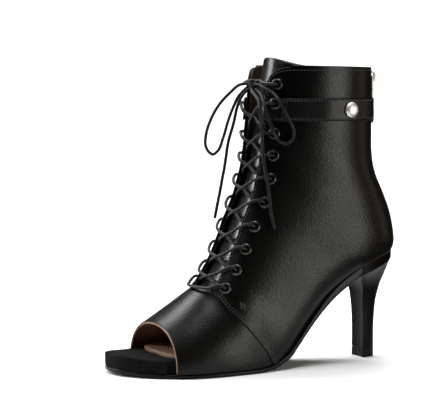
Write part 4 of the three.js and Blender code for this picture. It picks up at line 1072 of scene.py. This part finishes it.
# The strap round the collar: two lengths of folded leather sewn along both edges. The inner one runs
# over the zip and ends under the outer one's pointed tab, which a domed snap holds.
STRAP_WIDTH = 16.2
STRAP_THICKNESS = 1.4
STRAP_HEIGHT = THROAT_FOOT + 0.807 * (COLLAR_HEIGHT - THROAT_FOOT)
STRAP_OUT = QUARTER_STEP + GAP
TAB_TIP_TURN = 0.345
SNAP_TURN = 0.287
UNDER_END_TURN = 0.262
TAB_RISE = STRAP_THICKNESS + GAP
TAB_POINT = 8
LIFT_LENGTH = 0.06
STRAP_EDGE = 0.6
STRAP_PUFF = 0.12


def shaft_spots(heights, turns, offset=0.0):
    """Places on the last's shaft at the wanted heights and turns."""
    heights, turns, offset = np.broadcast_arrays(np.asarray(heights, float), turns, offset)
    low, high = np.full(heights.shape, 8.0), np.full(heights.shape, float(TOP_PLACE))
    low, high = close_in(low, high, lambda place: last_point(place, turns, offset)[..., 2] < heights, 34)
    return (low + high) / 2


def tab_lift(turns):
    t = np.clip((turns - UNDER_END_TURN + 1.2 * LIFT_LENGTH) / LIFT_LENGTH, 0, 1)
    return TAB_RISE * t * t * (3 - 2 * t)


def no_lift(turns):
    return 0.0 * turns


def front_turn(side):
    return front_view([(side * (THROAT_TOP_GAP + 2 * GAP), STRAP_HEIGHT)], side)[0, 1]


TAB_ROUND = math.pi * (SECTION_SIZES[-1, 0] - SECTION_SIZES[-1, 3])
TAB_LENGTH = (TAB_TIP_TURN - front_turn(1)) * TAB_ROUND


def tab_half(share):
    left = np.clip((1 - share) * TAB_LENGTH / TAB_POINT, 0, 1)
    return np.maximum(STRAP_WIDTH / 2 * (1 - (1 - left) ** 1.6), 0.08 * STRAP_WIDTH / 2)


def whole_half(share):
    return np.full(np.shape(share), STRAP_WIDTH / 2)


def strap_piece(name, start, end, lift, half_at):
    length = abs(end - start) * TAB_ROUND
    along = edged(length, 130, STRAP_EDGE)
    across = edged(STRAP_WIDTH, 12, STRAP_EDGE)
    share = along / length
    turns = np.broadcast_to((start + share * (end - start))[:, None], (len(along), len(across)))
    heights = STRAP_HEIGHT + (2 * across / STRAP_WIDTH - 1)[None] * half_at(share)[:, None]
    full = rounding(along, length, STRAP_EDGE)[:, None] * rounding(across, STRAP_WIDTH, STRAP_EDGE)[None]
    puff = STRAP_PUFF * (1 - (2 * across / STRAP_WIDTH - 1) ** 4)[None] - STRAP_PUFF
    middle = STRAP_OUT + lift(turns) + STRAP_THICKNESS / 2
    faces_at = []
    for way in (1, -1):
        offset = middle + way * STRAP_THICKNESS / 2 * full + (puff if way > 0 else 0)
        faces_at.append(last_point(shaft_spots(heights, turns, offset), turns, offset))
    piece = loft(name, slab_rings(*faces_at))
    piece.data.materials.append(strap_leather)
    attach(piece, "boot")
    return piece


strap_leather = leather_finish("strap_leather", DEEP_BLACK, WORN_BLACK, 0.8, 0.38, 0.2)
outer_strap = strap_piece("outer_strap", front_turn(1), TAB_TIP_TURN, tab_lift, tab_half)
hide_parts("strap_lateral")
inner_strap = strap_piece("inner_strap", front_turn(-1), UNDER_END_TURN - 1, no_lift, whole_half)
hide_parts("strap_medial")


def turned_rings(profile, centre, out, sides):
    """A turned piece standing on a centre, from (radius, height) pairs."""
    out = np.asarray(out) / np.linalg.norm(out)
    across = np.cross(out, (0.2, 0.1, 0.97))
    across /= np.linalg.norm(across)
    spoke = spokes(across, np.cross(out, across), sides)
    return np.array([centre + radius * spoke + height * out for radius, height in profile])


SNAP_RADIUS = 5.6
SNAP_HEIGHT = 3.5
snap_spot = (float(shaft_spots(STRAP_HEIGHT, SNAP_TURN)), SNAP_TURN)
snap_out = last_out(*snap_spot)
snap_foot = last_point(*snap_spot) + (STRAP_OUT + TAB_RISE + STRAP_THICKNESS + GAP / 2) * snap_out
snap_profile = [(0.05, 0), (0.9 * SNAP_RADIUS, 0), (0.985 * SNAP_RADIUS, 0.06 * SNAP_HEIGHT),
                (SNAP_RADIUS, 0.18 * SNAP_HEIGHT)]
for step in range(1, 15):
    angle = step / 15 * math.pi / 2
    snap_profile.append((SNAP_RADIUS * math.cos(angle) ** 0.85,
                         SNAP_HEIGHT * (0.2 + 0.8 * math.sin(angle) ** 1.1)))
snap_profile.append((0.05, SNAP_HEIGHT))


def worn_metal(name, scale, detail, dark, light, roughness, spread):
    """Metal whose tone and gloss vary a little with wear."""
    metal = Finish(name)
    wear = metal.noise(scale, detail)
    return metal.set(base_color=metal.blend(wear, dark, light), metallic=1.0,
                     roughness=roughness + wear * spread)


snap = loft("snap_cap", turned_rings(snap_profile, snap_foot, snap_out, 48), sharp=50)
snap.data.materials.append(
    worn_metal("silver", 700, 3, (0.72, 0.7, 0.67, 1), (0.86, 0.84, 0.81, 1), 0.42, 0.12))
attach(snap, "boot")
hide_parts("snap")

# Twenty eyelets of dark plated brass, each a rolled ring with its barrel through the leather. Those
# in the ninth row are set through the strap.
EYELET_RADIUS = 4.3
EYELET_BORE = 2.15
EYELET_SIDES = 32
RING_MIDDLE = 0.5 * (EYELET_RADIUS + EYELET_BORE)
RING_HALF = 0.5 * (EYELET_RADIUS - EYELET_BORE)
RING_RISE = 1.25
BARREL_RADIUS = EYELET_BORE + 0.45
BARREL_DEPTH = 2.0
dark_metal = worn_metal("gunmetal", 900, 3, (0.045, 0.042, 0.04, 1), (0.11, 0.1, 0.095, 1), 0.22, 0.15)


def strap_lift(row):
    """How far the strap raises an eyelet above the quarter."""
    return TAB_RISE if row == STRAP_EYELET else 0


for side, word in SIDES:
    for row, spot in enumerate(eyelet_spots(side)):
        out = last_out(*spot)
        lift = strap_lift(row)
        centre = last_point(*spot) + (QUARTER_STEP + lift) * out
        ring = []
        for step in range(13):
            angle = math.pi * (0.02 + 0.96 * step / 12)
            ring.append((RING_MIDDLE + RING_HALF * math.cos(angle), 0.1 + RING_RISE * math.sin(angle)))
        foot = -BARREL_DEPTH - lift
        barrel = [(EYELET_BORE, foot), (BARREL_RADIUS, foot), (BARREL_RADIUS, -0.1)]
        profile = barrel + ring + [(EYELET_BORE, -0.3)]
        loops = turned_rings(profile, centre, out, EYELET_SIDES)
        faces = []
        for k in range(len(profile)):
            faces += band(k * EYELET_SIDES, (k + 1) % len(profile) * EYELET_SIDES, EYELET_SIDES)
        eyelet = add_mesh(f"ring_{word}_{row + 1}", loops.reshape(-1, 3) * MM, faces)
        eyelet.data.materials.append(dark_metal)
        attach(eyelet, "boot")
        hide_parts(f"eyelet_{word}_{row + 1}")

# The zip: a woven tape sewn behind the slot, two rows of copper teeth between corded edges, and the
# slider with its long pull, which keep the shapes they have in the solid model.
ZIP_TOP = COLLAR_HEIGHT - 1.5
TAPE_OUT = -(WALL + 3 * GAP)
TAPE_THICKNESS = 0.9
TAPE_WIDTH = 24


def back_points(sideways, heights, offset):
    """Points on the back of the boot, on either side of its middle."""
    return across_last(heights, sideways, offset, (0.3, AT_BACK))


tape = Finish("zip_tape")
weave = tape.node("ShaderNodeTexWave", {"bands_direction": "Z"}, {"Vector": tape.place(), "Scale": 420.0})
tape_cloud = tape.noise(200, 2)
tape_cloth = tape.set(
    base_color=tape.blend(tape_cloud, (0.012, 0.009, 0.007, 1), (0.035, 0.024, 0.018, 1)), roughness=0.8,
    normal=tape.bump(weave, 0.0002, 0.5))
tape_across = np.linspace(-TAPE_WIDTH / 2, TAPE_WIDTH / 2, 22)
tape_heights = np.linspace(ZIP_FOOT - 5, ZIP_TOP, 90)
grid = [np.broadcast_to(a, (90, 22)) for a in (tape_across[None], tape_heights[:, None])]
zip_tape = loft("zip_cloth", slab_rings(back_points(*grid, TAPE_OUT),
                                        back_points(*grid, TAPE_OUT - TAPE_THICKNESS)))
zip_tape.data.materials.append(tape_cloth)
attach(zip_tape, "boot")
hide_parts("zip_tape")

TOOTH_PITCH = 1.5
TOOTH_REACH = 1.9
TOOTH_SIZE = (TOOTH_REACH / 2 + 0.25, 0.5, 0.95)
TOOTH_BLOCK = np.array([(-1, -1, -1), (1, -1, -1), (1, 1, -1), (-1, 1, -1),
                        (-0.86, -0.8, 1), (0.86, -0.8, 1), (0.86, 0.8, 1), (-0.86, 0.8, 1)])
TOOTH_FACES = [(3, 2, 1, 0), (4, 5, 6, 7), (0, 1, 5, 4), (1, 2, 6, 5), (2, 3, 7, 6), (3, 0, 4, 7)]
tooth_points, tooth_faces = [], []
tooth_heights = np.arange(ZIP_FOOT + 1, ZIP_TOP - 12, TOOTH_PITCH)
for side in (1, -1):
    middles = back_points(side * TOOTH_REACH / 2, tooth_heights + (side > 0) * TOOTH_PITCH / 2, -0.95)
    for middle in middles:
        start = len(tooth_points)
        tooth_points += [middle + (x, depth, z) for x, z, depth in TOOTH_BLOCK * TOOTH_SIZE]
        tooth_faces += [tuple(start + v for v in f) for f in TOOTH_FACES]
zip_teeth = add_mesh("zip_teeth", np.array(tooth_points) * MM, tooth_faces, smooth=False)
zip_teeth.data.materials.append(
    worn_metal("copper_teeth", 500, 2, (0.2, 0.095, 0.05, 1), (0.42, 0.24, 0.15, 1), 0.28, 0.12))
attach(zip_teeth, "boot")
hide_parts("zip_tape")
chain_heights = np.linspace(ZIP_FOOT + 1, ZIP_TOP, 70)
for side, word in ((1, "outer"), (-1, "inner")):
    bead = tube("chain_edge_" + word, back_points(side * 2.45, chain_heights, -1.5), 0.75, 8)
    bead.data.materials.append(tape_cloth)
    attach(bead, "boot")
    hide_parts("zip_tape")
for node in ("zip_slider", "zip_pull"):
    metal_piece = bpy.data.objects[node]
    metal_piece.material_slots[0].material = dark_metal

# The lace: one round waxed cotton cord. It crosses from inside one flap to over the other all the way
# up, goes into the eyelets, and is tied at the top in a knot with two loops and two ends.
LACE_RADIUS = LACE_DIAMETER / 2
OVER_FLAP = QUARTER_STEP + GAP + LACE_RADIUS + 0.25
UNDER_FLAP = -(WALL + GAP + LACE_RADIUS + 0.25)
LACE_DIP = -1.6
LACE_BEND = 0.9
RIM_SHARE = 0.74
RIM_CLEARANCE = 2.35
waxed = Finish("waxed_lace")
braid_along = waxed.node("ShaderNodeTexWave", {"bands_direction": "DIAGONAL"},
                         {"Vector": waxed.place(), "Scale": 330.0, "Distortion": 2.0})
wax_cloud = waxed.noise(260, 3)
black_lace = waxed.set(
    base_color=waxed.blend(wax_cloud, (0.004, 0.0038, 0.0036, 1), (0.012, 0.0112, 0.0105, 1)),
    roughness=0.36 + wax_cloud * 0.2, specular_ior_level=0.25,
    normal=waxed.bump(braid_along, 0.00025, 0.55))


def eyelet_height(k):
    return THROAT_FOOT + EYELET_HEIGHTS[k] * (COLLAR_HEIGHT - THROAT_FOOT)


def cord_curve(points, count):
    """A smooth curve through points with even spacing, for a lace."""
    points = np.asarray(points, float)
    before = 2 * points[0] - points[1]
    after = 2 * points[-1] - points[-2]
    whole = np.concatenate([[before], points, [after]])
    line = []
    for k in range(len(points) - 1):
        a, b, c, d = whole[k:k + 4]
        reach = np.linalg.norm(c - b)
        ab, cd = np.linalg.norm(b - a) + 1e-6, np.linalg.norm(d - c) + 1e-6
        slope_in = reach * ((b - a) / ab * reach + (c - b) / reach * ab) / (ab + reach)
        slope_out = reach * ((c - b) / reach * cd + (d - c) / cd * reach) / (cd + reach)
        t = np.linspace(0, 1, 12, endpoint=False)[:, None]
        line.append((2 * t ** 3 - 3 * t ** 2 + 1) * b + (t ** 3 - 2 * t ** 2 + t) * slope_in
                    + (3 * t ** 2 - 2 * t ** 3) * c + (t ** 3 - t ** 2) * slope_out)
    return evenly(np.concatenate(line + [points[-1:]]), count)


def lace_at(height, sideways, offset):
    return front_of_last(np.array([height]), np.array([sideways]), offset)[0]


eyelet_places = {}
for side in (1, -1):
    for k, spot in enumerate(eyelet_spots(side)):
        eyelet_places[k, side] = last_point(*spot), last_out(*spot)


def into_eyelet(k, side, depth):
    """A point on the eyelet's axis, that far above the leather's face."""
    centre, out = eyelet_places[k, side]
    return centre + (QUARTER_STEP + strap_lift(k) + depth) * out


def rim_point(k, side):
    """A point over the eyelet's rim, on its way from the eyelet's middle to the flap's edge."""
    out = eyelet_places[k, side][1]
    inward = np.array((-side, 0, 0)) - out * (-side * out[0])
    inward /= np.linalg.norm(inward)
    return into_eyelet(k, side, RIM_CLEARANCE) + inward * RIM_SHARE * EYELET_RADIUS


def out_of_eyelet(k, side):
    """The lace's way up out of an eyelet and over its rim."""
    return [into_eyelet(k, side, LACE_DIP), into_eyelet(k, side, LACE_BEND), rim_point(k, side)]


def strand(k, side):
    """One run of a crossing, from inside one flap up to the next eyelet of the other."""
    low = eyelet_height(k)
    rise = eyelet_height(k + 1) - low
    lift = strap_lift(k + 1)
    over = 0.62 * LACE_DIAMETER * side
    points = [
        into_eyelet(k, -side, LACE_DIP - QUARTER_STEP - WALL),
        lace_at(low + 0.05 * rise, -side * (throat_half(low) + 1.5), UNDER_FLAP),
        lace_at(low + 0.22 * rise, -side * (throat_half(low) - 4.2), UNDER_FLAP + 0.9),
        lace_at(low + 0.5 * rise, 0.001 * side, -0.7 * WALL + over * 0.9),
        lace_at(low + 0.76 * rise, side * (throat_half(low) - 4.2), OVER_FLAP - 0.7 + lift),
        lace_at(low + 0.93 * rise, side * (throat_half(low) + 0.8), OVER_FLAP + 0.25 + lift),
        *out_of_eyelet(k + 1, side)[::-1],
    ]
    return tube(f"lace_{k + 1}_{'over' if side > 0 else 'under'}", cord_curve(points, 54), LACE_RADIUS)


for k in range(STRAP_EYELET):
    for side in (1, -1):
        piece = strand(k, side)
        piece.data.materials.append(black_lace)
        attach(piece, "boot")
        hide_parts(f"lace_crossing_{k + 1}")

bar_low = eyelet_height(0)
bar_points = out_of_eyelet(0, -1)
for share in (-0.8, -0.4, 0.02, 0.4, 0.8):
    over = OVER_FLAP + 0.15 - 0.3 * (1 - abs(share))
    bar_points.append(lace_at(bar_low, share * (throat_half(bar_low) + 2), over))
bar_points += out_of_eyelet(0, 1)[::-1]
lace_bar = tube("lace_bar_visual", cord_curve(bar_points, 90), LACE_RADIUS)
lace_bar.data.materials.append(black_lace)
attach(lace_bar, "boot")
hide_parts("lace_bar")

# the two arms that come up out of the tenth eyelets and run into the knot, and the knot's three turns
KNOT = np.array((0.0, 31.3, 205.6))
for side, word in ((1, "outer"), (-1, "inner")):
    arm_points = out_of_eyelet(9, side) + [
        lace_at(eyelet_height(9) + 1.2, side * (THROAT_TOP_GAP + 0.4), OVER_FLAP + 0.6),
        KNOT + (side * 7, 1.4, 2.4), KNOT + (side * 2.6, 0.3, 1.3), KNOT + (side * 0.6, -0.4, 0.4)]
    arm = tube("lace_arm_" + word, cord_curve(arm_points, 60), LACE_RADIUS)
    arm.data.materials.append(black_lace)
    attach(arm, "boot")
    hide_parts("lace_knot")
KNOT_WIDE, KNOT_DEEP, KNOT_TALL = 2.5, 2.3, 1.5
turns = np.linspace(0, 2 * np.pi, 40)
for k, lean in enumerate((-0.5, 0.1, 0.75)):
    ring = np.stack([KNOT_WIDE * np.cos(turns) * (1 - 0.15 * k), KNOT_DEEP * np.sin(turns),
                     KNOT_TALL * (k - 1) + lean * np.cos(turns) * 1.3], -1) + KNOT
    piece = tube(f"knot_turn_{k + 1}", ring, LACE_RADIUS)
    piece.data.materials.append(black_lace)
    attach(piece, "boot")
    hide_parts("lace_knot")

# the loops and ends as they hang, as points in millimetres along each from where it leaves the knot
CORD_ROUTES = {
    "lace_loop_lateral": [
        (4.4, 30.7, 205.2), (9.5, 32.0, 204.8), (14.6, 32.2, 203.2), (22.6, 35.6, 199.4),
        (27.4, 37.2, 195.0), (30.0, 39.4, 189.7), (31.6, 44.6, 179.5), (31.8, 48.0, 171.8),
        (31.3, 47.6, 166.6), (29.6, 43.3, 163.0), (26.4, 38.5, 165.0), (26.6, 34.7, 171.0),
        (23.4, 31.9, 181.2), (20.4, 30.0, 190.4), (13.0, 31.3, 197.6), (5.0, 31.4, 201.4)],
    "lace_loop_medial": [
        (-3.6, 29.5, 206.0), (-7.6, 23.8, 204.6), (-10.6, 18.2, 199.2), (-13.6, 10.8, 190.6),
        (-16.8, 5.1, 178.8), (-19.0, 2.5, 167.8), (-19.8, 2.5, 161.2), (-20.0, 6.0, 155.2),
        (-19.8, 8.4, 153.9), (-19.2, 12.1, 156.3), (-17.5, 15.6, 165.4), (-14.6, 18.5, 178.6),
        (-11.8, 21.5, 189.1), (-9.2, 24.5, 196.8), (-4.3, 29.2, 203.4)],
    "lace_end_lateral": [
        (1.6, 29.2, 202.3), (5.6, 27.6, 199.8), (10.0, 27.6, 197.6), (15.0, 27.6, 194.4),
        (18.4, 27.4, 189.6), (19.8, 27.6, 184.0), (19.8, 28.0, 176.0), (19.6, 28.6, 168.0),
        (20.4, 28.9, 159.0), (22.2, 29.0, 149.0), (25.0, 29.3, 139.5), (26.8, 30.1, 131.0),
        (28.2, 30.5, 122.0), (29.6, 31.1, 112.5), (31.4, 32.4, 103.4)],
    "lace_end_medial": [
        (-1.3, 29.8, 202.6), (-2.4, 25.8, 199.2), (-3.4, 23.8, 196.2), (-4.8, 22.2, 192.0),
        (-6.4, 21.2, 187.0), (-8.0, 20.6, 181.0), (-9.4, 19.6, 174.5), (-11.0, 18.0, 167.5),
        (-12.2, 16.7, 160.0), (-13.0, 15.9, 152.0), (-13.6, 14.8, 144.0), (-14.2, 13.4, 136.0),
        (-14.8, 11.9, 127.0), (-15.4, 10.2, 118.0), (-16.0, 8.4, 108.2)],
}
for name, route in CORD_ROUTES.items():
    line = cord_curve(route, 170)
    lace = tube(name + "_visual", line, LACE_RADIUS)
    lace.data.materials.append(black_lace)
    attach(lace, "boot")
    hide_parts(name)

# The stitching: black waxed thread in rows of short stitches. It runs double along the quarters'
# seam with a bar tack at its top, and single along the throat, the collar, the zip and the straps.
thread = Finish("black_thread")
thread_twist = thread.noise(3000, 2)
black_thread = thread.set(
    base_color=thread.blend(thread_twist, (0.008, 0.0075, 0.007, 1), (0.05, 0.046, 0.042, 1)),
    roughness=0.5)
STITCH_PITCH = 2.5
STITCH_LENGTH = 1.9
STITCH_HALF = 0.3
STITCH_RISE = ((-1.0, 0.3, -0.35), (-0.62, 0.9, 0.25), (0.0, 1.0, 0.45), (0.62, 0.9, 0.25),
               (1.0, 0.3, -0.35))
STRAP_STITCH_INSET = 1.7
STRAP_FACE = STRAP_OUT + STRAP_THICKNESS - 0.1
CLEAR_OF_STRAP = STRAP_WIDTH / 2 + 0.8
ROW_INSET = 2.2
THROAT_INSET = 2.0
SEAM_ROWS = (("near", 1.5), ("far", 3.3))
STRAP_END_ROWS = (("front", 0.062), ("back", 0.0695))
TACK_ROWS = 5
TACK_ROW_GAP = 0.95
TACK_LONG = 4.6
TACK_FALL = 1.3
TACK_PITCH = 2.2
TACK_BEHIND_EYELET = 6.5
TACK_BELOW_EYELET = 9.5
STITCH_SIDES = 6
STITCH_ROUND = np.linspace(0, 2 * np.pi, STITCH_SIDES, endpoint=False)


def stitch_row(name, spots, lift, pitch=STITCH_PITCH):
    """Stitches along a line of (place, turn) on the leather, lift above the last's face."""
    line = last_point(spots[:, 0], spots[:, 1], lift)
    along = lengths_along(line)
    count = max(1, int(along[-1] / pitch))
    middles = (np.arange(count) + 0.5) * along[-1] / count
    points, faces = [], []
    for middle in middles:
        at = np.array([[np.interp(middle + way, along, column) for column in line.T]
                       for way in (-0.4, 0, 0.4)])
        spot = [np.interp(middle, along, column) for column in spots.T]
        out = last_out(*spot)
        ahead = at[2] - at[0]
        ahead /= np.linalg.norm(ahead)
        side = np.cross(out, ahead)
        start = len(points)
        for forward, thick, up in STITCH_RISE:
            centre = at[1] + forward * STITCH_LENGTH / 2 * ahead + up * STITCH_HALF * out
            for angle in STITCH_ROUND:
                spoke = math.cos(angle) * side + math.sin(angle) * out
                points.append(centre + STITCH_HALF * thick * spoke)
        end = len(points) - STITCH_SIDES
        for low in range(start, end, STITCH_SIDES):
            faces += band(low, low + STITCH_SIDES, STITCH_SIDES)
        faces += [tuple(range(start, start + STITCH_SIDES))[::-1], tuple(range(end, end + STITCH_SIDES))]
    piece = add_mesh(name, np.array(points) * MM, faces)
    piece.data.materials.append(black_thread)
    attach(piece, "boot")


def beside(spots, inset, side):
    """The line moved an even way across the leather, to its left as it runs, or to its right."""
    ahead = np.gradient(last_point(*spots.T), axis=0)
    across = side * np.cross(last_out(*spots.T), ahead)
    across /= np.linalg.norm(across, axis=1, keepdims=True) + 1e-9
    return spots + inset * step_on_last(spots, across)


def clear_of_strap(spots):
    """The parts of a line that lie below and above the strap."""
    heights = last_point(*spots.T)[:, 2]
    below, above = heights < STRAP_HEIGHT, heights > STRAP_HEIGHT
    clear = np.abs(heights - STRAP_HEIGHT) > CLEAR_OF_STRAP
    return spots[clear & below], spots[clear & above]


for side, word in SIDES:
    seam_spots = side_view(smooth_line(SEAM_LINE[1:], 120), side)
    on_quarter = last_point(*seam_spots.T)
    seam_spots = seam_spots[(on_quarter[:, 2] > feather_line(on_quarter[:, 1]) + 2.5)
                            & (on_quarter[:, 2] < THROAT_FOOT - 5)]
    for row, inset in SEAM_ROWS:
        stitch_row(f"seam_{row}_{word}", beside(seam_spots, inset, side), QUARTER_STEP)
    edge = front_view(throat_edge(side)[2:], side)
    edge[:, 0] = np.minimum(edge[:, 0], TOP_PLACE - 0.02)
    inside_edge = beside(edge, THROAT_INSET, -side)
    inside_edge = inside_edge[last_point(*inside_edge.T)[:, 2] < COLLAR_HEIGHT - THROAT_INSET]
    low_part, high_part = clear_of_strap(inside_edge)
    stitch_row("throat_low_" + word, low_part, QUARTER_STEP)
    stitch_row("throat_high_" + word, high_part, QUARTER_STEP)
    beside_zip = side * (ZIP_SLOT_HALF + ROW_INSET)
    last_turn = back_view([(beside_zip, COLLAR_HEIGHT - ROW_INSET)], side)[0, 1]
    turns = np.linspace(high_part[-1, 1], last_turn, 160)
    collar_line = np.stack([shaft_spots(COLLAR_HEIGHT - ROW_INSET, turns), turns], -1)
    stitch_row("collar_" + word, collar_line, QUARTER_STEP)
    zip_heights = np.linspace(COLLAR_HEIGHT - 3.5, ZIP_FOOT - 2, 120)
    zip_line = back_view(np.stack([np.full(120, beside_zip), zip_heights], -1), side)
    low_part, high_part = clear_of_strap(zip_line)
    stitch_row("zip_low_" + word, low_part, QUARTER_STEP)
    stitch_row("zip_high_" + word, high_part, QUARTER_STEP)


def strap_stitches(name, start, end, half_at, lift, upward):
    """A row of stitches along one edge of a strap."""
    turns = np.linspace(start, end, 220)
    share = (turns - start) / (end - start)
    heights = STRAP_HEIGHT + upward * (half_at(share) - STRAP_STITCH_INSET)
    out = STRAP_FACE + lift(turns)
    stitch_row(name, np.stack([shaft_spots(heights, turns, out), turns], -1), out)


def stitched_half(share):
    """Half the tab's width along its stitches, which end short of its tip and meet there."""
    part = (tab_end - front_turn(1)) / (TAB_TIP_TURN - front_turn(1))
    return np.maximum(tab_half(share * part), STRAP_STITCH_INSET)


tab_end = TAB_TIP_TURN - 0.011
for upward, word in ((1, "upper"), (-1, "lower")):
    strap_stitches(f"outer_strap_{word}_row", front_turn(1) + 0.004, tab_end, stitched_half,
                   tab_lift, upward)
    strap_stitches(f"inner_strap_{word}_row", front_turn(-1) - 0.004, UNDER_END_TURN - 1 + 0.004, whole_half,
                   no_lift, upward)
row_half = STRAP_WIDTH / 2 - 1.6
for side, word in SIDES:
    for row, behind in STRAP_END_ROWS:
        turn = np.full(40, front_turn(side) + side * behind)
        heights = np.linspace(STRAP_HEIGHT - row_half, STRAP_HEIGHT + row_half, 40)
        spots = np.stack([shaft_spots(heights, turn, STRAP_FACE), turn], -1)
        stitch_row(f"strap_end_{row}_{word}", spots, STRAP_FACE)
    # the bar tack at the top of the seam, a small block of close stitches
    centre = last_point(*eyelet_spots(side)[0])
    for row in range(TACK_ROWS):
        tack_y = centre[1] + TACK_BEHIND_EYELET
        tack_z = centre[2] - TACK_BELOW_EYELET - TACK_ROW_GAP * row
        tack = evenly([(tack_y, tack_z), (tack_y + TACK_LONG, tack_z - TACK_FALL)], 20)
        stitch_row(f"bar_tack_{word}_{row + 1}", side_view(tack, side), QUARTER_STEP, TACK_PITCH)

low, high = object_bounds()
